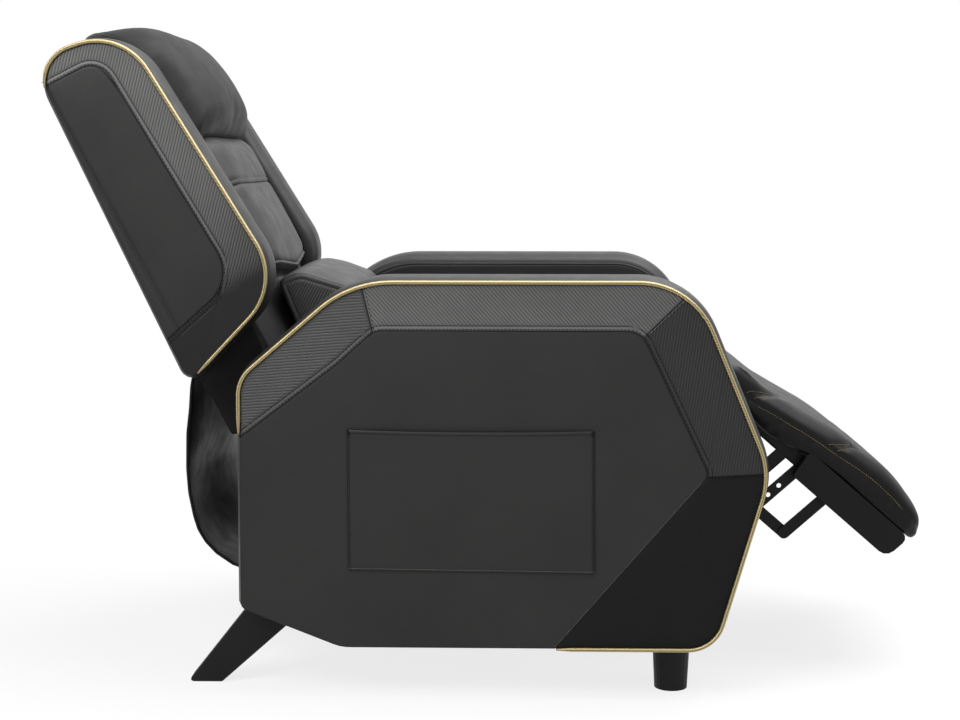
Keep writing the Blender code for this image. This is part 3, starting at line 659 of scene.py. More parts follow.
DUSK_SHADE = 0.47
DUSK_REACH = 0.22
PANEL_SINK = 0.0007
EDGE_ROLL = 0.0026
EDGE_DARK = 0.0010
RIB_START = (0.001, 0.004)
RIB_CLEAR = (BAND + 0.0003, BAND + 0.0025)
GROOVE_WIDTH = 0.0008
STRIP_COLUMNS = 8
LOW_COLUMNS = 24
PANEL_COLUMNS = 30
UPRIGHT = radians(90.0)


def across_rows(spots, angle):
    """How far each spot is across rows that run at an angle."""
    return spots @ np.array((-sin(angle), cos(angle)))


def rib_levels(outline, angle):
    """Row positions across an outline that follow the ribs' profile."""
    reach = across_rows(outline, angle)
    first = int(np.floor(reach.min() / RIB_PITCH))
    last = int(np.ceil(reach.max() / RIB_PITCH))
    levels = ((np.arange(first, last)[:, None] + RIB_PHASES) * RIB_PITCH).ravel()
    return levels[(levels > reach.min()) & (levels < reach.max())]


def even_levels(outline, angle, step=0.010):
    """Row positions across an outline, close together at its edges."""
    reach = across_rows(outline, angle)
    low, high = reach.min(), reach.max()
    middle = np.linspace(low + EDGE_STEPS[-1], high - EDGE_STEPS[-1], int((high - low) / step))
    return np.concatenate((low + EDGE_STEPS, middle, high - EDGE_STEPS))


def rib_rise(spots, angle):
    """The ribs' profile at each spot: zero in the grooves and one on the crests."""
    phase = (across_rows(spots, angle) / RIB_PITCH) % 1.0
    return np.interp(phase, (*RIB_PHASES, 1.0), (*RIB_RISE, 0.0))


def ribbed_lift(outline, seam, angle, rim, plain_below, painted_dim):
    """Height and shade of a ribbed strip with a plain sewn band along its seam.

    A rim has a painted shadow along it, beside the piping. Below plain_below, if it is given, the ribs
    have faded out, the strip is darker and a painted shade grows towards its bottom. The dim is the
    least shade of the strip, painted shade over strips that catch less light.
    """

    def lift(spots):
        edge = distance(spots, closed_line(outline))
        gap = distance(spots, seam)
        rise = rib_rise(spots, angle)
        ribbed = eased(spots[:, 1], plain_below, plain_below + RIB_FADE) if plain_below else 1.0
        ribs = eased(gap, *RIB_CLEAR) * eased(edge, *RIB_START) * ribbed
        band = np.where(gap < BAND, np.sin(pi * np.clip(gap / BAND, 0, 1)), 0.0)
        groove = np.exp(-(((gap - BAND) / GROOVE_WIDTH) ** 2))
        height = rolled(edge, EDGE_ROLL, 0.0023) - PANEL_SINK
        height += RIB_HEIGHT * rise * ribs + 0.0003 * band - 0.0010 * groove
        # Painted shade in the rib valleys, the seam's groove and along the edges
        shade = 0.85 * (1 - rise) * ribs + 0.9 * groove + 1.2 * np.exp(-edge / EDGE_DARK)
        # Below plain_below the strip is darker, with a painted shade that grows towards its bottom
        if plain_below:
            dusk = 1 - eased(spots[:, 1], plain_below, plain_below + DUSK_REACH)
            shade += PLAIN_SHADE * (1 - ribbed) + DUSK_SHADE * dusk
        # Painted shadow beside the piping along the rim
        if rim is not None:
            shade += np.exp(-((distance(spots, rim) / PIPING_SHADOW_WIDTH) ** 6))
        return height, painted_dim + (1 - painted_dim) * np.clip(shade, 0, 1)

    return lift


def smooth_lift(outline, crown, reach):
    """Height and shade of a plain panel that swells away from its seams."""

    def lift(spots):
        edge = distance(spots, closed_line(outline))
        height = rolled(edge, EDGE_ROLL, 0.0021) - PANEL_SINK + crown * (1 - np.exp(-edge / reach))
        # Painted shade along the seams
        return height, np.clip(1.2 * np.exp(-edge / EDGE_DARK), 0, 1)

    return lift


def fading_ribs_lift(outline, seam, angle):
    """Height and shade of a plain panel with faint ribs that fade out away from a seam."""
    plain = smooth_lift(outline, 0.002, 0.04)

    def lift(spots):
        height, shade = plain(spots)
        rise = rib_rise(spots, angle)
        edge = distance(spots, closed_line(outline))
        fade = np.exp(-((distance(spots, seam) / LOW_RIB_REACH) ** 2)) * eased(edge, *RIB_START)
        # Painted shade in the faint rib valleys
        return height + 0.0006 * rise * fade, np.clip(shade + 0.5 * (1 - rise) * fade, 0, 1)

    return lift


def side_strip(name, outline, seam, rim, angle, place, sign, face, plain_below=None, painted_dim=0.0):
    levels = rib_levels(outline, angle)
    lift = ribbed_lift(outline, seam, angle, rim, plain_below, painted_dim)
    return panel(name, outline, angle, levels, STRIP_COLUMNS, lift, place, sign, face, RIBBED)


def side_panel(name, outline, crown, reach, place, sign, face, material):
    levels = even_levels(outline, UPRIGHT)
    lift = smooth_lift(outline, crown, reach)
    return panel(name, outline, UPRIGHT, levels, PANEL_COLUMNS, lift, place, sign, face, material)


def edge_piping(part, body, edge, side, sign, place):
    """Gold piping along the outer edge of an arm or a wing, with the seam of its cover."""
    welt = place(upright(edge, sign * (side + PIPING_SIDE)))
    piping = cord(part + "_gold_piping", welt, PIPING_RADIUS, GOLD)
    dress(piping, body, (part + "_piping",))
    seam_path = welt + (0.0, sign * PIPING_RADIUS, 0.0)
    seam = cord(part + "_piping_seam", seam_path, PIPING_SEAM, PIPING_THREAD)
    dress(seam, body)


def inner_row(outline, start, end, inset, side, place):
    """World points of a sewn line on an inner face, set in from the outline."""
    return place(upright(between(outline - inset * normals_of(outline), start, end), side))


def cushion_profile(inner, outer, crown, fullness, inner_roll, outer_roll, seam_inset):
    """Sections of an arm or a wing from its inner to its outer face, with a sewn groove on the inner face."""
    profile = [(inner, -inner_roll, share) for share in (0.05, 0.35, 0.65, 0.85)]
    for inset, sink in ((0.006, 0.0), (0.0015, 0.0), (0.0, 0.0016), (-0.0015, 0.0)):
        profile.append((inner + sink, -seam_inset - inset, 1.0))
    for angle in quarter_turn(5):
        profile.append((inner + inner_roll * (1 - cos(angle)), -inner_roll * (1 - sin(angle)), 1.0))
    low = inner + inner_roll
    high = outer - outer_roll
    for share in np.arange(1, 10) / 10:
        profile.append((low + (high - low) * share, crown * sin(pi * share) ** fullness, 1.0))
    for angle in quarter_turn(4):
        profile.append((outer - outer_roll * (1 - sin(angle)), -outer_roll * (1 - cos(angle)), 1.0))
    profile += [(outer, -outer_roll, share) for share in (0.85, 0.4, 0.05)]
    return profile


ARM_JOINS = ((-0.1947, 0.5676), (0.2161, 0.5596), (0.3120, 0.3480))
ARM_PIPING = ((0.082, 0.078), (-0.400, 0.4115))
ARM_INNER_SEAM = ((0.36, 0.50), (-0.26, 0.60), 0.0160)
THREAD_INNER = 0.0002
TOP_THREAD = (0.0022, 0.0026)
CROSS_THREAD = (0.0026, 0.0026)
BAND_THREAD = (BAND, 0.0012)
LIGHT_THREAD = (-0.0030, 0.0022)
arm_outline = closed_outline(ARM_CORNERS, 0.006, 14)
arm_seam = spaced(rounded(SEAM_CORNERS, 10, closed=False), 0.004)
arm_facing = normals_of(arm_outline)
arm_fade = np.clip(1.4 + 1.4 * arm_facing[:, 1], 0.0, 1.0)
arm_fade *= 0.68 + 0.32 * np.clip(arm_facing[:, 0], 0.0, 1.0)
seam_start = arm_seam[0]
seam_end = arm_seam[-1]
rear_join, front_join, low_join = [arm_seam[nearest(arm_seam, spot)] for spot in ARM_JOINS]


def seam_part(start, end):
    return arm_seam[nearest(arm_seam, start) : nearest(arm_seam, end) + 1]


def strip_outline(start, end, seam):
    """A strip between a stretch of the arm's edge and a stretch of the seam."""
    return np.vstack((between(arm_outline, start, end), seam))


rear_seam = seam_part(seam_start, rear_join)
top_seam = seam_part(rear_join, front_join)
front_seam = seam_part(front_join, low_join)
low_seam = seam_part(low_join, seam_end)
upper_run = np.vstack((rear_seam, top_seam, front_seam))
low_cross = np.array((LOW_SEAM_FRONT, low_join))
# The last value of each row is the strip's dim: painted shade for strips that catch less light
ARM_STRIPS = (
    ("_rear_strip", REAR_SEAM_TOP, seam_start, rear_seam, REAR_RIBS, 0.47),
    ("_top_strip", FRONT_SEAM_TOP, REAR_SEAM_TOP, top_seam, TOP_RIBS, 0.0),
    ("_front_strip", LOW_SEAM_FRONT, FRONT_SEAM_TOP, front_seam, FRONT_RIBS, 0.84),
)
ARM_CROSSINGS = ((REAR_SEAM_TOP, rear_join), (FRONT_SEAM_TOP, front_join), low_cross)
lower_outline = strip_outline(seam_end, LOW_SEAM_FRONT, low_seam)
lower_levels = rib_levels(lower_outline, LOW_RIBS)
lower_lift = fading_ribs_lift(lower_outline, low_cross, LOW_RIBS)
main_outline = np.vstack((between(arm_outline, seam_start, seam_end), arm_seam[::-1]))
arm_rim = closed_line(arm_outline)
arm_profile = cushion_profile(ARM_INNER, ARM_FACE, 0.0115, 0.4, 0.012, 0.004, 0.013)


def arm_line(line, sign, lift):
    """World points along a line on the arm's side face."""
    return on_base(upright(line, sign * (ARM_FACE + lift)))


def arm_row(line, sign, thread):
    """A sewn row beside a line on the arm's side face; thread is its offset and its height."""
    return arm_line(beside(line, thread[0]), sign, thread[1]), (0.0, sign, 0.0)


for side, sign in SIDES:
    arm = side + "_arm"
    body = padded_body(arm + "_body", arm_outline, arm_profile, sign, on_base, LEATHER, arm_fade)
    dress(body, "base", (arm + "_cover",))
    for name, start, end, seam, angle, painted_dim in ARM_STRIPS:
        outline = strip_outline(start, end, seam)
        strip = side_strip(arm + name, outline, seam, arm_rim, angle, on_base, sign, ARM_FACE, painted_dim=painted_dim)
        dress(strip, "base")
    main = side_panel(arm + "_side_panel", main_outline, 0.0045, 0.07, on_base, sign, ARM_FACE, LEATHER)
    dress(main, "base")
    rows = (LOW_RIBS, lower_levels, LOW_COLUMNS)
    where = (on_base, sign, ARM_FACE)
    lower = panel(arm + "_lower_panel", lower_outline, *rows, lower_lift, *where, MATT_LEATHER)
    dress(lower, "base")
    edge_piping(arm, "base", between(arm_outline, *ARM_PIPING), ARM_OUTER, sign, on_base)
    threads = [arm_row(upper_run, sign, thread) for thread in (BAND_THREAD, TOP_THREAD)]
    for run in ARM_CROSSINGS:
        threads.append(arm_row(spaced(run, 0.004)[2:-1], sign, CROSS_THREAD))
    inner_edge = inner_row(arm_outline, *ARM_INNER_SEAM, sign * (ARM_INNER - THREAD_INNER), on_base)
    threads.append((inner_edge, (0.0, -sign, 0.0)))
    sew(arm + "_stitching", "base", threads, DARK_THREAD)
    light_row = [arm_row(low_seam[3:], sign, LIGHT_THREAD)]
    sew(arm + "_light_stitching", "base", light_row, GREY_THREAD, 0.0044, 0.0026, 0.00035)

# Wings
WING_INNER = 0.2456
WING_OUTER = 0.345
WING_FACE = 0.3435
WING_CORNERS = (
    (-0.0485, 0.1325, 0.016),
    (0.1535, 0.2005, 0.094),
    (0.1255, 0.651, 0.090),
    (-0.021, 0.675, 0.056),
)
WING_PLAIN = 0.205
WING_SEAM_CORNERS = (
    (-0.0233, 0.6308),
    (0.0741, 0.6285, 0.035),
    (0.0923, 0.2400, 0.060),
    (-0.0450, 0.2065),
)
WING_PIPING = ((-0.025, 0.1410), (-0.0224, 0.6296))
WING_INNER_SEAM = ((0.135, 0.22), (0.06, 0.655))
WING_INNER_INSETS = (0.0175, 0.0232)
WING_THREADS = (BAND_THREAD, (0.0022, 0.0024))
wing_outline = closed_outline(WING_CORNERS, 0.006, 14)
wing_rim = closed_line(wing_outline)
wing_seam = spaced(rounded(WING_SEAM_CORNERS, 10, closed=False), 0.004)
wing_strip = np.vstack((between(wing_outline, wing_seam[-1], wing_seam[0]), wing_seam))
wing_main = np.vstack((between(wing_outline, wing_seam[0], wing_seam[-1]), wing_seam[::-1]))
wing_profile = cushion_profile(WING_INNER, WING_FACE, 0.0070, 0.3, 0.016, 0.004, 0.020)
for side, sign in SIDES:
    wing = side + "_wing"
    where = (on_back, sign, WING_FACE)
    body = padded_body(wing + "_body", wing_outline, wing_profile, sign, on_back, LEATHER)
    dress(body, "backrest", (wing,))
    strip = side_strip(wing + "_strip", wing_strip, wing_seam, wing_rim, WING_RIBS, *where, WING_PLAIN)
    dress(strip, "backrest")
    main = side_panel(wing + "_side_panel", wing_main, 0.003, 0.05, *where, LEATHER)
    dress(main, "backrest")
    edge_piping(wing, "backrest", between(wing_outline, *WING_PIPING), WING_OUTER, sign, on_back)
    threads = []
    for offset, lift in WING_THREADS:
        row = on_back(upright(beside(wing_seam, offset), sign * (WING_FACE + lift)))
        threads.append((row, (0.0, sign, 0.0)))
    for inset in WING_INNER_INSETS:
        row = inner_row(wing_outline, *WING_INNER_SEAM, inset, sign * (WING_INNER - THREAD_INNER), on_back)
        threads.append((row, (0.0, -sign, 0.0)))
    sew(wing + "_stitching", "backrest", threads, DARK_THREAD)


# Cushions
def run_of(outline):
    """Length along a closed outline up to each point."""
    steps = np.linalg.norm(np.roll(outline, -1, axis=0) - outline, axis=1)
    return np.concatenate(([0.0], np.cumsum(steps)[:-1]))


CLOSE_RINGS = np.array((0.022, 0.017, 0.013, 0.0095, 0.007, 0.005, 0.003, 0.0016, 0.0007, 0.0))
GUSSET_STEPS = 8
PUCKER_WAVES = (262.0, 57.0)


def cushion(name, outline, lift, foot, join, material, bulge=0.0, under=None, tuck=0.006, pucker=0.0):
    """A box cushion: a swelling face over a sewn edge, a gusset and a plain back.

    Lift gives the height and shade of the face from the spots and the run along the outline.
    Foot gives the height of the gusset's far edge and under that of the back, and join turns
    (a, b, height) into world points. Bulge is the gusset's swell and pucker its uneven part.
    """
    middle = (outline.min(axis=0) + outline.max(axis=0)) / 2
    size = np.linalg.norm(outline - middle, axis=1).min()
    outward = normals_of(outline)
    run = run_of(outline)
    close = 1 - CLOSE_RINGS / size
    rings = []
    painted_shades = []

    def add_ring(spots, height, shade=0.0):
        rings.append(join(*spots.T, height))
        painted_shades.append(np.broadcast_to(shade, len(spots)))

    for share in np.concatenate((np.linspace(0.03, close[0] - 0.03, 16), close)):
        spots = middle + (outline - middle) * share
        add_ring(spots, *lift(spots, run))
    edge = lift(outline, run)[0]
    base = foot(outline)
    swell = bulge + pucker * np.sin(PUCKER_WAVES[0] * run) * np.sin(PUCKER_WAVES[1] * run)
    for step in range(GUSSET_STEPS):
        share = 0.06 + 0.94 * step / GUSSET_STEPS
        spots = outline + outward * swell[:, None] * sin(pi * share)
        # The sewn edge's ring gets painted shade
        add_ring(spots, edge + (base - edge) * share, 0.0 if step else 0.8)
    add_ring(outline - outward * tuck * 0.3, base)
    inner = outline - outward * tuck
    add_ring(inner, base)
    for share in (0.985, 0.93, 0.6, 0.1):
        spots = middle + (inner - middle) * share
        add_ring(spots, (under or foot)(spots))
    piece = loft(name, rings, material)
    paint_shade(piece, np.vstack(rings), np.concatenate(painted_shades))
    return piece


def facing_forward(side, up, ahead):
    return on_back(np.stack((ahead, side, up), axis=1))


def level(height):
    return lambda spots: np.full(len(spots), height)


def edge_shade(edge):
    """Painted shade along a sewn edge."""
    return 0.9 * np.exp(-edge / 0.0016)


def drop(gap, width, depth, power=2.0):
    """How far a padded face has fallen away at a distance from its edge."""
    return depth * (1 - np.clip(gap / width, 0.0, 1.0)) ** power


def face_row(outline, inset, lift, join):
    """World points of a closed sewn line on a cushion's face, set in from its outline."""
    row = outline - inset * normals_of(outline)
    return closed_line(join(*row.T, lift(row, run_of(row))[0] + THREAD_RAISE))


BACK_REAR = 0.0303
BACK_HALF = 0.240
SIDE_ROLL = (0.105, 0.052)
LIP_REACH = (0.004, 0.020)
PAD_CORNER = 0.012
PAD_BULGE = 0.002
SECOND_SEAM = 0.0075
SECOND_DEPTH = 0.0026


def pad_outline(low, high, dip_low, dip_high):
    """Front view of a back pad; dips make its lower or upper edge a shallow chevron."""
    low_side = low + dip_low
    high_side = high + dip_high
    corners = [(-BACK_HALF, low_side, PAD_CORNER), (0.0, low), (BACK_HALF, low_side, PAD_CORNER)]
    corners += [(BACK_HALF, high_side, PAD_CORNER), (0.0, high), (-BACK_HALF, high_side, PAD_CORNER)]
    return closed_outline(corners, 0.006)


def back_pad_lift(ends, front, low_roll, high_roll, second, lip):
    """Face of a back pad: each edge has its own roll, and second names the edge with a second seam."""
    low, high, dip_low, dip_high = ends

    def lift(spots, run):
        slope = np.abs(spots[:, 0]) / BACK_HALF
        side_gap = np.clip(BACK_HALF - np.abs(spots[:, 0]), 0.0, 1.0)
        low_gap = np.clip(spots[:, 1] - low - dip_low * slope, 0.0, 1.0)
        high_gap = np.clip(high + dip_high * slope - spots[:, 1], 0.0, 1.0)
        height = front - drop(side_gap, *SIDE_ROLL) - drop(low_gap, *low_roll) - drop(high_gap, *high_roll)
        height = height + lip * (1 - eased(high_gap, *LIP_REACH))
        shade = edge_shade(np.minimum(np.minimum(side_gap, low_gap), high_gap))
        if second:
            gap = np.abs((low_gap if second == "low" else high_gap) - SECOND_SEAM)
            height = height - SECOND_DEPTH * np.exp(-((gap / 0.0018) ** 2))
            # Painted shade in the second seam's groove
            shade = np.maximum(shade, 0.9 * np.exp(-((gap / 0.0015) ** 2)))
        return height, shade

    return lift


PADS = (
    ("upper_back_pad", (0.3775, 0.467, 0.0, 0.0), 0.145, (0.008, 0.0030), (0.030, 0.012), "low", 0.0),
    ("middle_back_pad", (0.222, 0.3770, 0.025, 0.0), 0.1435, (0.016, 0.0050), (0.010, 0.0030), None, 0.0),
    ("lower_back_pad", (0.085, 0.2215, 0.0, 0.025), 0.1205, (0.03, 0.02), (0.008, 0.002), "high", 0.020),
)
for name, ends, *form in PADS:
    lift = back_pad_lift(ends, *form)
    outline = pad_outline(*ends)
    pad = cushion(name + "_cover", outline, lift, level(BACK_REAR), facing_forward, BACK_LIT_LEATHER, PAD_BULGE)
    dress(pad, "backrest", (name,))

# Headrest
HEAD_HALF = 0.232
HEAD_LOW = 0.467
HEAD_HIGH = 0.703
HEAD_ROLL = 0.17
HEAD_SWELL = 0.048
HEAD_PROFILE = smooth_table(
    (0.467, 0.476, 0.499, 0.543, 0.594, 0.622, 0.656, 0.690, 0.704),
    (0.170, 0.1720, 0.1750, 0.1770, 0.1710, 0.1635, 0.1440, 0.1030, 0.066),
)
HEAD_SEAM = smooth_table((0.467, 0.56, 0.62, 0.66, 0.704), (0.128, 0.125, 0.116, 0.091, 0.046))
GATHER_PITCH = 0.0105
GATHER_DEPTH = 0.0014


def box_outline(half, low, high, low_radius, high_radius, step):
    """Front view of a box cushion with rounded corners."""
    corners = [(-half, low, low_radius), (half, low, low_radius)]
    corners += [(half, high, high_radius), (-half, high, high_radius)]
    return closed_outline(corners, step)


head_outline = box_outline(HEAD_HALF, HEAD_LOW, HEAD_HIGH, 0.02, 0.108, 0.004)
head_edge = closed_line(head_outline)


def head_lift(spots, run):
    """The headrest swells forward, follows its measured profile and is gathered along its sewn edge."""
    edge = distance(spots, head_edge)
    seam = np.interp(spots[:, 1], *HEAD_SEAM)
    full = np.interp(spots[:, 1], *HEAD_PROFILE) - seam
    side = np.clip((HEAD_HALF - np.abs(spots[:, 0])) / HEAD_ROLL, 0.0, 1.0)
    across = 1 - (1 - side) ** 2.2
    close = 1 - (1 - np.clip(edge / HEAD_SWELL, 0.0, 1.0)) ** 3
    height = seam + full * (0.34 * close + 0.66 * across * close)
    beat = np.sin(run * 2 * pi / GATHER_PITCH + 1.7 * np.sin(run * 23.0)) * (0.6 + 0.4 * np.sin(run * 61.0))
    flank = eased(np.abs(spots[:, 0]), 0.13, 0.19)
    height = height + GATHER_DEPTH * beat * flank * np.exp(-edge / 0.011) * eased(edge, 0.0, 0.0025)
    return height, edge_shade(edge)


head_form = (head_outline, head_lift, level(BACK_REAR), facing_forward)
head = cushion("headrest_cover", *head_form, HEAD_SHADED_LEATHER, 0.001)
dress(head, "backrest", ("headrest_pad",))
ahead_of_back = on_back([(1.0, 0.0, 0.0)])[0] - on_back([(0.0, 0.0, 0.0)])[0]
head_row = face_row(head_outline, 0.0032, head_lift, facing_forward)
sew("headrest_stitching", "backrest", [(head_row, ahead_of_back)], DARK_THREAD)

# Lumbar pillow
PILLOW_HALF = 0.2015
PILLOW_CORNERS = (
    (0.1125, 0.072, 0.034),
    (0.226, 0.066, 0.050),
    (0.234, 0.138, 0.050),
    (0.166, 0.2055, 0.042),
    (0.1265, 0.2085, 0.012),
)
PILLOW_ROLL = 0.006
PILLOW_SWELL = 0.0035
PILLOW_RIBS = radians(62.0) - BACK_TILT
# Painted shade over the pillow's ribbed caps
CAP_PAINTED_DIM = 0.40
pillow_outline = closed_outline(PILLOW_CORNERS, 0.005, 10)
pillow_profile = [(-PILLOW_HALF, -0.004, share) for share in (0.05, 0.4, 0.8)]
for angle in quarter_turn(4):
    side = -PILLOW_HALF + PILLOW_ROLL * (1 - cos(angle))
    pillow_profile.append((side, -PILLOW_ROLL * (1 - sin(angle)), 1.0))
for share in np.arange(1, 16) / 16:
    side = -PILLOW_HALF + PILLOW_ROLL + 2 * (PILLOW_HALF - PILLOW_ROLL) * share
    pillow_profile.append((side, PILLOW_SWELL * sin(pi * share) ** 0.6, 1.0))
pillow_profile += [(-side, offset, share) for side, offset, share in pillow_profile[7::-1]]
pillow = padded_body("lumbar_pillow_cover", pillow_outline, pillow_profile, 1, on_back, PILLOW_LIT_LEATHER)
dress(pillow, "backrest", ("lumbar_pillow",))
cap_outline = pillow_outline - 0.003 * normals_of(pillow_outline)
cap_seam = closed_line(cap_outline)
cap_ends = (cap_outline[0], cap_outline[-1])
for side, sign in SIDES:
    where = (on_back, sign, PILLOW_HALF)
    cap = side_strip(side + "_pillow_cap", cap_outline, cap_seam, None, PILLOW_RIBS, *where, painted_dim=CAP_PAINTED_DIM)
    dress(cap, "backrest")
    cap_row = inner_row(cap_outline, *cap_ends, BAND / 2, sign * (PILLOW_HALF + 0.0022), on_back)
    cap_rows = [(cap_row, (0.0, sign, 0.0))]
    sew(side + "_pillow_stitching", "backrest", cap_rows, DARK_THREAD, 0.0050, 0.0034)

# Upholstered rear of the back: a shallow box cover round the frame
REAR_HALF = 0.2448
REAR_LOW = 0.050
REAR_HIGH = 0.668
REAR_BORDER = 0.0130
REAR_FOOT = -0.0312
REAR_BOARD = ((0.075, 0.660), (0.0500, 0.0222))
rear_outline = box_outline(REAR_HALF, REAR_LOW, REAR_HIGH, 0.012, 0.007, 0.008)
rear_edge = closed_line(rear_outline)


def facing_back(side, up, behind):
    return on_back(np.stack((-behind, side, up), axis=1))


def rear_lift(spots, run):
    """The rear face follows the board's lean and swells a little from its sewn edge."""
    edge = distance(spots, rear_edge)
    board = np.interp(spots[:, 1], *REAR_BOARD)
    height = board - 0.003 + rolled(edge, 0.010, 0.0045) + 0.0025 * (1 - np.exp(-edge / 0.06))
    groove = np.exp(-(((edge - REAR_BORDER) / 0.0016) ** 2))
    # Painted shade along the sewn edge and in the border's groove
    return height - 0.0015 * groove, np.maximum(edge_shade(edge), 0.7 * groove)


rear_form = (rear_outline, rear_lift, level(REAR_FOOT), facing_back)
rear_cover = cushion("back_rear_cover", *rear_form, DARK_LEATHER, tuck=0.004)
dress(rear_cover, "backrest")
rear_row = face_row(rear_outline, REAR_BORDER + 0.0032, rear_lift, facing_back)
sew("back_rear_stitching", "backrest", [(rear_row, -ahead_of_back)], GREY_THREAD)

# Upholstered core of the back below the wings
CORE_FACE = 0.2440
CORE_CORNERS = (
    (-0.0515, 0.022, 0.008),
    (0.045, 0.022, 0.012),
    (0.075, 0.230, 0.010),
    (-0.0455, 0.230, 0.006),
)
core_outline = closed_outline(CORE_CORNERS, 0.006)
for side, sign in SIDES:
    where = (on_back, sign, CORE_FACE)
    core = side_panel(side + "_core_side", core_outline, 0.0015, 0.04, *where, MATT_LEATHER)
    dress(core, "backrest")


# Seat
def facing_up(x, y, z):
    return on_base(np.stack((x, y, z), axis=1))


SEAT_TOP = smooth_table((-0.325, -0.15, 0.05, 0.305), (0.484, 0.4905, 0.4970, 0.4985))
SEAT_CORNERS = (
    (-0.325, -0.257, 0.014),
    (0.257, -0.257, 0.012),
    (0.257, -0.2025, 0.004),
    (0.305, -0.2025, 0.014),
    (0.305, 0.2025, 0.014),
    (0.257, 0.2025, 0.004),
    (0.257, 0.257, 0.012),
    (-0.325, 0.257, 0.014),
)
SEAT_FOOT = 0.3766
SEAT_ROLL = (0.026, 0.022)
seat_outline = closed_outline(SEAT_CORNERS, 0.008)
seat_edge = closed_line(seat_outline)


def seat_lift(spots, run):
    """The seat rolls up from its sewn edge and crowns towards the middle."""
    edge = distance(spots, seat_edge)
    top = np.interp(spots[:, 0], *SEAT_TOP)
    height = top - 0.014 * np.exp(-edge / 0.06) - SEAT_ROLL[1] + rolled(edge, *SEAT_ROLL)
    return height, edge_shade(edge)


seat = cushion("seat_cushion_cover", seat_outline, seat_lift, level(SEAT_FOOT), facing_up, LEATHER, 0.0005)
dress(seat, "base", ("seat_cushion",))


# Footrest
def facing_out(along, side, above):
    return on_foot(np.stack((along, side, above), axis=1))


FOOT_HALF = 0.2385
FOOT_START = -0.034
FOOT_END = 0.385
KNEE_RADIUS = 0.0490
FOOT_STATIONS = (-0.034, -0.02, 0.0, 0.036, 0.072, 0.108, 0.150, 0.1883)
FOOT_STATIONS += (0.2080, 0.2333, 0.2672, 0.3181, 0.3572, 0.376, 0.385)
FOOT_HEIGHTS = (0.0405, 0.0482, 0.0508, 0.0503, 0.0545, 0.0600, 0.0680, 0.0752)
FOOT_HEIGHTS += (0.0765, 0.0780, 0.0811, 0.0763, 0.0641, 0.0525, 0.0440)
FOOT_TOP = smooth_table(FOOT_STATIONS, FOOT_HEIGHTS)
SEAM_STATIONS = (-0.034, 0.0, 0.0317, 0.0536, 0.078, 0.1047, 0.1307, 0.1567)
SEAM_STATIONS += (0.1891, 0.2118, 0.2386, 0.267, 0.2913, 0.33, 0.36, 0.385)
SEAM_HEIGHTS = (0.0232, 0.0196, 0.0209, 0.0250, 0.0305, 0.0351, 0.0398, 0.0439)
SEAM_HEIGHTS += (0.0474, 0.0504, 0.0542, 0.0563, 0.0563, 0.0530, 0.0470, 0.0400)
FOOT_SEAM = smooth_table(SEAM_STATIONS, SEAM_HEIGHTS)
FOOT_DROOP = smooth_table(
    (-0.034, -0.02, 0.0, 0.03, 0.0635, 0.0731, 0.1168, 0.152, 0.1667, 0.2, 0.30, 0.385),
    (0.0196, 0.0190, 0.0090, 0.0030, -0.0015, -0.0025, 0.0019, 0.0131, 0.0169, 0.0213, 0.0213, 0.0213),
)
FOOT_CORNERS = (
    (FOOT_START, -FOOT_HALF, 0.020),
    (FOOT_END, -FOOT_HALF, 0.038),
    (FOOT_END, FOOT_HALF, 0.038),
    (FOOT_START, FOOT_HALF, 0.020),
)
FOOT_BACK = 0.0222
DARTS = ((0.0190, 0.0317, 0.0700, 0.0008), (0.1741, 0.1891, 0.2255, 0.0035))
DART_REACH = 0.050
DART_DEPTH = 0.0045
DART_THREAD = 0.0016
foot_outline = closed_outline(FOOT_CORNERS, 0.006)
foot_edge = closed_line(foot_outline)


def dart_line(start, tip, inward):
    """How far along the leg pad a dart's sewn line is, by the distance in from the side."""
    return start + (tip - start) * np.clip(inward / DART_REACH, 0.0, 1.0) ** 0.65


def foot_lift(spots, run):
    """The leg pad follows its measured top, rolls down to its side seam and is drawn in by sewn darts."""
    edge = distance(spots, foot_edge)
    seam = np.interp(spots[:, 0], *FOOT_SEAM)
    top = np.interp(spots[:, 0], *FOOT_TOP)
    width = 0.050 - 0.038 * eased(spots[:, 0], 0.33, 0.375) - 0.014 * (1 - eased(spots[:, 0], -0.034, -0.01))
    width -= 0.024 * (1 - eased(spots[:, 0], 0.02, 0.06))
    height = seam + rolled(edge, width, top - seam)
    # Painted shade along the sewn edge
    shade = 0.8 * np.exp(-edge / 0.0014)
    inward = np.clip(FOOT_HALF - np.abs(spots[:, 1]), 0.0, 1.0)
    fade = 1 - eased(inward, DART_REACH * 0.75, DART_REACH * 1.3)
    for first, second, tip, crease in DARTS:
        for start in (first, second):
            gap = np.abs(spots[:, 0] - dart_line(start, tip, inward))
            height = height - DART_DEPTH * np.exp(-gap / 0.0045) * fade * eased(edge, 0.0, 0.006)
            # Painted shade in the darts' seams
            shade = np.maximum(shade, 0.75 * np.exp(-gap / 0.0012) * fade)
        gap = np.abs(spots[:, 0] - tip)
        height = height - crease * np.exp(-((gap / 0.012) ** 2)) * (1 - fade)
    return height, np.clip(shade, 0, 1)


def foot_droop(spots):
    return np.interp(spots[:, 0], *FOOT_DROOP)


def foot_under(spots):
    """The back of the leg pad clears the round knee."""
    clear = np.sqrt(np.clip((KNEE_RADIUS + 0.001) ** 2 - spots[:, 0] ** 2, 0.0, None))
    return np.maximum(clear, FOOT_BACK)


foot_form = (foot_outline, foot_lift, foot_droop, facing_out)
leg_pad = cushion("footrest_cushion_cover", *foot_form, DARK_LEATHER, 0.004, foot_under, 0.012, 0.0013)
dress(leg_pad, "footrest", ("footrest_cushion",))

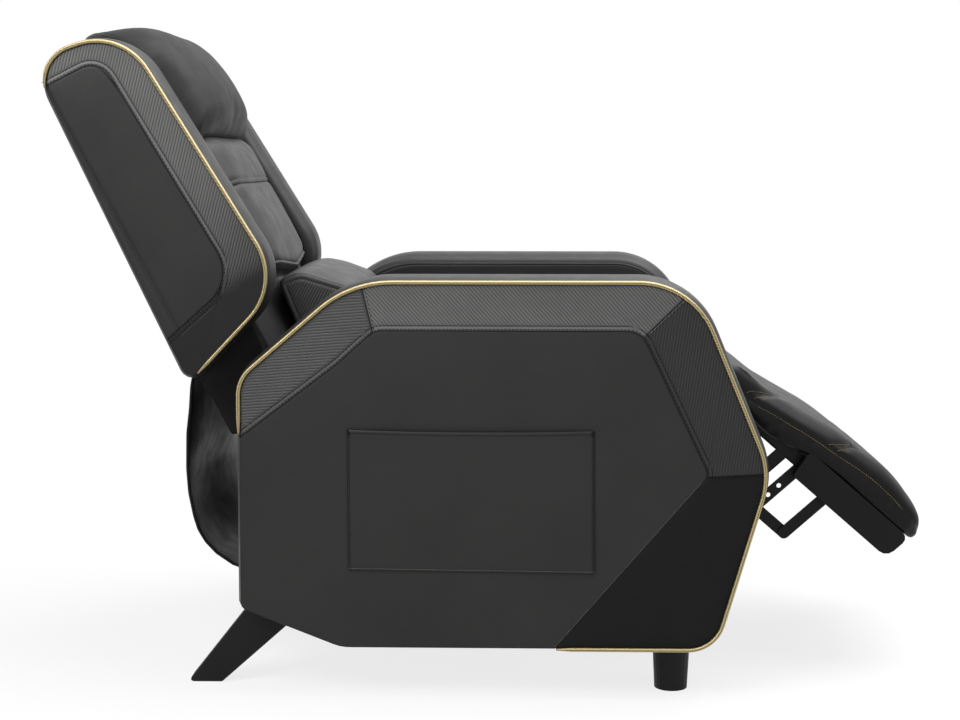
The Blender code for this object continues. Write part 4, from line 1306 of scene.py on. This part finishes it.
foot_up = on_foot([(0.0, 0.0, 1.0)])[0] - on_foot([(0.0, 0.0, 0.0)])[0]
foot_threads = []
for side, sign in SIDES:
    inward = np.linspace(0.0003, DART_REACH, 60)
    slant = foot_up * 0.75 + (0.0, sign * 0.66, 0.0)
    for first, second, tip, _ in DARTS:
        for start, offset in ((first, -DART_THREAD), (second, DART_THREAD)):
            spots = np.stack((dart_line(start, tip, inward) + offset, sign * (FOOT_HALF - inward)), axis=1)
            row = facing_out(*spots.T, foot_lift(spots, None)[0] + THREAD_RAISE)
            row[:, 1] += sign * 0.0012
            foot_threads.append((row, slant))
    seam_line = np.linspace(0.002, 0.335, 80)
    seam_height = np.interp(seam_line, *FOOT_SEAM) - 0.0030
    flank = facing_out(seam_line, np.full(80, sign * (FOOT_HALF + 0.0014)), seam_height)
    foot_threads.append((flank, (0.0, sign, 0.0)))
sew("footrest_stitching", "footrest", foot_threads, GOLD_THREAD, 0.0042, 0.0030, 0.0004)

# Knee roll between the seat and the leg pad
KNEE_HALF = 0.2095
KNEE_ROLL = 0.006
KNEE_POINTS = 48
knee_turns = np.arange(KNEE_POINTS) * 2 * pi / KNEE_POINTS
knee_circle = np.stack((np.cos(knee_turns), np.zeros(KNEE_POINTS), np.sin(knee_turns)), axis=1)
knee_stations = [(-KNEE_HALF, share * KNEE_RADIUS) for share in (0.05, 0.4, 0.75)]
for angle in quarter_turn(4):
    station = -KNEE_HALF + KNEE_ROLL * (1 - cos(angle))
    knee_stations.append((station, KNEE_RADIUS - KNEE_ROLL * (1 - sin(angle))))
knee_stations += [(-station, radius) for station, radius in knee_stations[::-1]]
knee_middle = foot_hinge * (1.0, 0.0, 1.0)
knee_rings = [knee_middle + (0.0, station, 0.0) + radius * knee_circle for station, radius in knee_stations]
knee = loft("knee_roll_cover", knee_rings, DARK_LEATHER)
dress(knee, "base", ("knee_roll",))

# Rear skirt: a hanging sheet from the back to the base, in soft upright folds
SKIRT_LINE = (
    (-0.4895, 0.4905),
    (-0.4950, 0.4870),
    (-0.4990, 0.4770),
    (-0.5010, 0.4600),
    (-0.5035, 0.4270),
    (-0.5085, 0.3880),
    (-0.5100, 0.3290),
    (-0.5075, 0.2890),
    (-0.5000, 0.2500),
    (-0.4935, 0.2290),
    (-0.4825, 0.2100),
    (-0.4650, 0.1910),
    (-0.4375, 0.1720),
    (-0.3848, 0.1560),
)
SKIRT_HALF = 0.240
SKIRT_THICK = 0.0016
SKIRT_BELLY = (0.026, 0.013)
SKIRT_FOLD = 0.009
FOLD_WAVE = 14.0
FOLD_START = 0.05
SKIRT_WELT = 0.0027
skirt_line = spaced(np.array(SKIRT_LINE), 0.008)
skirt_inwards = beside(skirt_line, 1.0) - skirt_line
skirt_share = np.linspace(0.0, 1.0, len(skirt_line))
skirt_across = np.linspace(-SKIRT_HALF, SKIRT_HALF, 75)


def skirt_fold(share, side):
    """How far the skirt is drawn in at a place: it bellies out low down and folds between its sewn ends."""
    across = abs(side) / SKIRT_HALF
    belly = SKIRT_BELLY[0 if share < 0.5 else 1] * sin(2 * pi * share) * (1 - across**2)
    wave = sin(FOLD_WAVE * (side - FOLD_START)) - sin(FOLD_WAVE * (-SKIRT_HALF - FOLD_START))
    return belly + SKIRT_FOLD * wave * sin(pi * share)


def skirt_points(sides, depth=0.0):
    """World points of the skirt, row by row, at given sides and a depth in from its outer face."""
    points = []
    for spot, inwards, share in zip(skirt_line, skirt_inwards, skirt_share):
        for side in sides:
            a, b = spot + inwards * (skirt_fold(share, side) + depth)
            points.append((a, side, b))
    return on_base(np.array(points))


skirt_layers = np.vstack((skirt_points(skirt_across), skirt_points(skirt_across, SKIRT_THICK)))
skirt_faces = sheet_faces(len(skirt_line), len(skirt_across))
skirt = add_mesh("rear_skirt_sheet", skirt_layers, skirt_faces, SKIRT_LEATHER)
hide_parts("rear_skirt")
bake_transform(skirt)
for side, sign in SIDES:
    welt = cord(side + "_skirt_welt", skirt_points((sign * SKIRT_HALF,)), SKIRT_WELT, DARK_LEATHER)
    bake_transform(welt)

# Side pocket: a hemmed patch sewn down on three sides
POCKET_CORNERS = ((-0.2353, 0.2013), (0.1418, 0.1975), (0.1400, 0.4185), (-0.2353, 0.4194))
POCKET_HEM = 0.0055
POCKET_WIDTH = 0.375
POCKET_TALL = 0.22
POCKET_THICK = 0.0014
POCKET_SAG = 0.0025
POCKET_LOW_ROWS = (0.0, 0.006, 0.013, 0.025, 0.05, 0.09, 0.15, 0.25, 0.4, 0.55, 0.7, 0.8, 0.87, 0.92)
POCKET_HEM_ROWS = (0.945, 0.96, 0.968, 0.974, 0.980, 0.987, 0.993, 0.998, 1.0)
POCKET_ROWS = POCKET_LOW_ROWS + POCKET_HEM_ROWS
POCKET_INSET = 0.0035
ARM_SWELL = 0.0058
BAR_TACK = 0.009
TACK_INSET = 0.0030
RIGHT_OUT = (0.0, -1.0, 0.0)
pocket_across = np.linspace(0.0, 1.0, 64)
pocket_columns = 0.35 * (0.5 - 0.5 * np.cos(pi * pocket_across)) + 0.65 * pocket_across
pocket_corners = np.array(POCKET_CORNERS)


def pocket_face():
    """Spots, heights and shades of a patch that bellies out from the arm and sags along its open top."""
    up, share = [part.ravel() for part in np.meshgrid(POCKET_ROWS, pocket_columns, indexing="ij")]
    bottom = np.outer(1 - share, pocket_corners[0]) + np.outer(share, pocket_corners[1])
    top = np.outer(1 - share, pocket_corners[3]) + np.outer(share, pocket_corners[2])
    spots = bottom * (1 - up)[:, None] + top * up[:, None]
    spots[:, 1] -= POCKET_SAG * np.sin(pi * share) * up
    edge = np.minimum(share, 1 - share) * POCKET_WIDTH
    foot = up * POCKET_TALL
    below_top = (1 - up) * POCKET_TALL
    rim = np.minimum(edge, foot)
    belly = 0.0022 + 0.0042 * (1 - np.exp(-edge / 0.03)) * (1 - np.exp(-foot / 0.05))
    roll = 0.0016 * np.exp(-(((below_top - 0.0025) / 0.0022) ** 2))
    groove = np.exp(-(((below_top - POCKET_HEM) / GROOVE_WIDTH) ** 2))
    height = (belly + roll - 0.0007 * groove) * rolled(rim + 0.0004, 0.0016, 1.0)
    # Painted shade in the hem's groove and along the sewn edges
    return spots, height, np.minimum(1.0, 0.8 * groove + 0.9 * np.exp(-rim / 0.0009))


pocket_spots, pocket_height, pocket_shade = pocket_face()
pocket_heights = (pocket_height, pocket_height - POCKET_THICK)
pocket_layers = np.vstack([arm_line(pocket_spots, -1, ARM_SWELL + height) for height in pocket_heights])
pocket_faces = sheet_faces(len(POCKET_ROWS), len(pocket_columns))
pocket = add_mesh("side_pocket_patch", pocket_layers, pocket_faces, LEATHER)
paint_shade(pocket, pocket_layers, np.concatenate((pocket_shade, pocket_shade)))
dress(pocket, "base", ("side_pocket",))


def pocket_row(first, last):
    """A sewn row between two pocket corners, set in from the edge."""
    start = pocket_corners[first]
    end = pocket_corners[last]
    along = (end - start) / np.linalg.norm(end - start)
    inwards = np.array((-along[1], along[0]))
    if (pocket_corners.mean(axis=0) - start) @ inwards < 0:
        inwards = -inwards
    line = start + np.linspace(0.0, 1.0, 60)[:, None] * (end - start) + inwards * POCKET_INSET
    return arm_line(line, -1, ARM_SWELL + 0.0032), RIGHT_OUT


def sew_pocket(name, rows, material, *sizes):
    sew(name, "base", rows, material, *sizes, slot="faux_leather_sheet")


pocket_sides = [pocket_row(0, 3), pocket_row(1, 2)]
sew_pocket("pocket_side_stitching", pocket_sides, DARK_THREAD, 0.0050, 0.0034, 0.0005)
sew_pocket("pocket_foot_stitching", [pocket_row(0, 1)], GREY_THREAD, 0.0044, 0.0027, 0.0004)
tack_rows = []
for (a, b), inwards in zip(POCKET_CORNERS[2:], (-TACK_INSET, TACK_INSET)):
    tack = ((a + inwards, b - 0.0006), (a + inwards, b - BAR_TACK))
    tack_rows.append((arm_line(tack, -1, ARM_SWELL + 0.0040), RIGHT_OUT))
sew_pocket("pocket_bar_tacks", tack_rows, DARK_THREAD, 0.0014, 0.0022, 0.0010)

# Cloth settling: the covers are puffed up by a short simulation over their own forms
SETTLE_FRAMES = 20
SEAM_HOLD = 0.0055
SEWN_SHADE = 0.4
FORM_VOXEL = 0.006
FAR_AWAY = (9.0, 9.0, 9.0)
NEAR_POINTS = 5
NEAR_SOFTENING = 0.0008
LEG_PAD_HELD = 0.026
SEAT_HELD = 0.43
SEAT_REAR_HELD = 0.20
PILLOW_REAR_HELD = 0.125
PILLOW_END_HELD = 0.012
PILLOW_LOW_HELD = 0.085
CLOTH = {
    "quality": 5,
    "mass": 0.35,
    "tension_stiffness": 30.0,
    "compression_stiffness": 30.0,
    "shear_stiffness": 15.0,
    "bending_stiffness": 4.0,
    "vertex_group_mass": "held",
    "use_pressure": True,
    "uniform_pressure_force": 4.0,
    "shrink_min": -0.004,
}


def seam_gap(piece, spots):
    """How far each spot is from the nearest sewn point of a piece, which are the points with a dark shade."""
    sewn = [FAR_AWAY]
    if "shade" in piece.data.attributes:
        shades = piece.data.attributes["shade"].data
        sewn += [vertex.co for vertex, shade in zip(piece.data.vertices, shades) if shade.value > SEWN_SHADE]
    tree = tree_of(sewn)
    return np.array([tree.find(spot)[2] for spot in spots])


def evaluated(piece):
    return piece.evaluated_get(bpy.context.evaluated_depsgraph_get())


def places(mesh):
    """The places of a mesh's points."""
    spots = np.empty(len(mesh.vertices) * 3)
    mesh.vertices.foreach_get("co", spots)
    return spots.reshape(-1, 3)


def form_of(piece):
    """A copy of a piece with even faces, for the simulation."""
    form = add_object(piece.name + "_form", piece.data.copy())
    remesh = form.modifiers.new("form", "REMESH")
    remesh.mode = "VOXEL"
    remesh.voxel_size = FORM_VOXEL
    bpy.context.view_layer.update()
    form.data = bpy.data.meshes.new_from_object(evaluated(form))
    form.modifiers.clear()
    return form


def cloth_move(form, held):
    """How far each point of a form moves as cloth under pressure, with the held points fixed."""
    before = places(form.data)
    group = form.vertex_groups.new(name="held")
    group.add([int(index) for index in np.nonzero(held)[0]], 1.0, "REPLACE")
    cloth = form.modifiers.new("cover", "CLOTH")
    for name, value in CLOTH.items():
        setattr(cloth.settings, name, value)
    cloth.settings.effector_weights.gravity = 0.0
    cloth.point_cache.frame_start = 1
    cloth.point_cache.frame_end = SETTLE_FRAMES
    for step in range(1, SETTLE_FRAMES + 1):
        bpy.context.scene.frame_set(step)
    return places(evaluated(form).data) - before


def evened(move, mesh, rounds):
    """The movement after it has been evened out between neighbouring points."""
    ends = np.empty(len(mesh.edges) * 2, dtype=np.int32)
    mesh.edges.foreach_get("vertices", ends)
    first, second = ends.reshape(-1, 2).T
    degree = np.bincount(ends, minlength=len(move))[:, None]
    for _ in range(rounds):
        around = np.zeros_like(move)
        np.add.at(around, first, move[second])
        np.add.at(around, second, move[first])
        move = (move + around / degree) / 2
    return move


def settle(piece, held, limit, calm):
    """Moves a cover as a simulated cloth of the same form moves, with the held part and the seams fixed."""
    form = form_of(piece)
    before = places(form.data)
    move = cloth_move(form, held(before) | (seam_gap(piece, before) < SEAM_HOLD))
    move *= min(1.0, limit / float(np.linalg.norm(move, axis=1).max()))
    move = evened(move, form.data, calm)
    tree = tree_of(before)
    for vertex in piece.data.vertices:
        near = tree.find_n(vertex.co, NEAR_POINTS)
        weights = np.array([1.0 / (gap + NEAR_SOFTENING) for _, _, gap in near])
        moves = [weight * move[index] for weight, (_, index, _) in zip(weights, near)]
        vertex.co += Vector(sum(moves) / weights.sum())
    bpy.context.scene.frame_set(1)
    bpy.data.objects.remove(form, do_unlink=True)


def in_back(spots):
    """How far world points are ahead of and up from the back's pivot, along the back."""
    x, _, z = (spots - recline_pivot).T
    return x * cos(BACK_TILT) + z * sin(BACK_TILT), z * cos(BACK_TILT) - x * sin(BACK_TILT)


def rear_of_back(reach):
    """Picks the points of a back cushion that lie behind a depth, so that they stay on the frame."""
    return lambda spots: in_back(spots)[0] < reach


def under_leg_pad(spots):
    x, _, z = (spots - foot_hinge).T
    return x * sin(FOOT_ANGLE) + z * cos(FOOT_ANGLE) < LEG_PAD_HELD


def under_seat(spots):
    return (spots[:, 2] < SEAT_HELD) | (spots[:, 0] < shift - SEAT_REAR_HELD)


def pillow_ends(spots):
    ahead, up = in_back(spots)
    beyond = np.abs(spots[:, 1]) > PILLOW_HALF - PILLOW_END_HELD
    return (ahead < PILLOW_REAR_HELD) | beyond | (up < PILLOW_LOW_HELD)


SETTLING = (
    ("headrest_cover", rear_of_back(0.10), 0.006, 14),
    ("upper_back_pad_cover", rear_of_back(0.09), 0.006, 20),
    ("middle_back_pad_cover", rear_of_back(0.09), 0.006, 20),
    ("lower_back_pad_cover", rear_of_back(0.08), 0.006, 20),
    ("lumbar_pillow_cover", pillow_ends, 0.006, 8),
    ("seat_cushion_cover", under_seat, 0.006, 4),
    ("footrest_cushion_cover", under_leg_pad, 0.005, 0),
)
for name, held, limit, calm in SETTLING:
    settle(bpy.data.objects[name], held, limit, calm)

# Finish of the solids that show
for slot_row in frame["record"]["materials"]:
    finish = SLOT_FINISH[slot_row["slot"]]
    for name, node in frame["nodes"].items():
        for index, material in enumerate(node.data.materials):
            if material and material.name.split(".")[0] == slot_row["slot"]:
                node.data.materials[index] = finish

frame["nodes"]["skirt_rail"].data.materials[0] = BLACK_WOOD

# Studio: pale floor, soft light and the photographed view
FLOOR_HALF = 6.0
FLOOR_FADE = (0.7, 1.9)
WHITE = (1.0, 1.0, 1.0, 1.0)
AMBIENT = 0.30
floor_corners = [(a * FLOOR_HALF, b * FLOOR_HALF, 0.0) for a, b in ((-1, -1), (1, -1), (1, 1), (-1, 1))]
floor_mesh = bpy.data.meshes.new("floor")
floor_mesh.from_pydata(floor_corners, [], [(0, 1, 2, 3)])
add_object("floor", floor_mesh)


def white_to_camera(tree):
    """One where a ray comes from the camera, a reflection or a see-through face, else zero."""
    path = add_node(tree, "ShaderNodeLightPath")
    either = add_math(tree, "MAXIMUM", path["Is Camera Ray"], path["Is Glossy Ray"])
    return add_math(tree, "MAXIMUM", either, path["Is Transmission Ray"])


def floor_finish():
    """A pale floor that keeps a soft shadow and runs out into white."""
    material, tree, shader, space = start_material("pale_floor")
    feed(tree, shader, {"Base Color": (0.9, 0.9, 0.9, 1.0), "Roughness": 0.9})
    reach = add_node(tree, "ShaderNodeVectorMath", {0: space}, operation="LENGTH")["Value"]
    fade = add_range(tree, reach, 0.80, 1.0, FLOOR_FADE)
    share = add_math(tree, "MULTIPLY", white_to_camera(tree), fade)
    glow = add_node(tree, "ShaderNodeEmission")["Emission"]
    blend = {"Fac": share, 1: shader.outputs["BSDF"], 2: glow}
    surface = add_node(tree, "ShaderNodeMixShader", blend)["Shader"]
    feed(tree, tree.nodes["Material Output"], {"Surface": surface})
    return material


floor_mesh.materials.append(floor_finish())

world = bpy.data.worlds.new("studio")
bpy.context.scene.world = world
world.use_nodes = True
sky = world.node_tree
ambient = sky.nodes["Background"]
feed(sky, ambient, {"Color": WHITE, "Strength": AMBIENT})
backdrop = add_node(sky, "ShaderNodeBackground", {"Color": WHITE})["Background"]
chosen = {"Fac": white_to_camera(sky), 1: ambient.outputs["Background"], 2: backdrop}
feed(sky, sky.nodes["World Output"], {"Surface": add_node(sky, "ShaderNodeMixShader", chosen)["Shader"]})

AIM = Vector((0.0, 0.0, 0.5))
LAMPS = (
    ("top_light", (0.70, 0.30, 2.50), 2.6, 105.0),
    ("key_light", (-1.10, -1.60, 1.95), 1.1, 34.0),
    ("fill_light", (0.3, -3.4, 1.5), 2.4, 10.0),
)
for name, place, size, power in LAMPS:
    lamp_data = bpy.data.lights.new(name, "AREA")
    lamp_data.size = size
    lamp_data.energy = power
    lamp = add_object(name, lamp_data)
    lamp.location = place
    lamp.rotation_euler = (AIM - Vector(place)).to_track_quat("-Z", "Y").to_euler()

CAMERA_PLACE = (0.02806, -2.8945, 0.82495)
CAMERA_PITCH = 6.815
CAMERA_YAW = 1.404
CAMERA_LENS = 62.7375
camera_data = bpy.data.cameras.new("camera")
camera_data.lens = CAMERA_LENS
camera_data.sensor_width = 36.0
camera = add_object("camera", camera_data)
camera.location = on_base([CAMERA_PLACE])[0]
camera.rotation_euler = (radians(90 - CAMERA_PITCH), 0.0, radians(CAMERA_YAW))
bpy.context.scene.camera = camera
bpy.context.scene.view_settings.view_transform = "Standard"
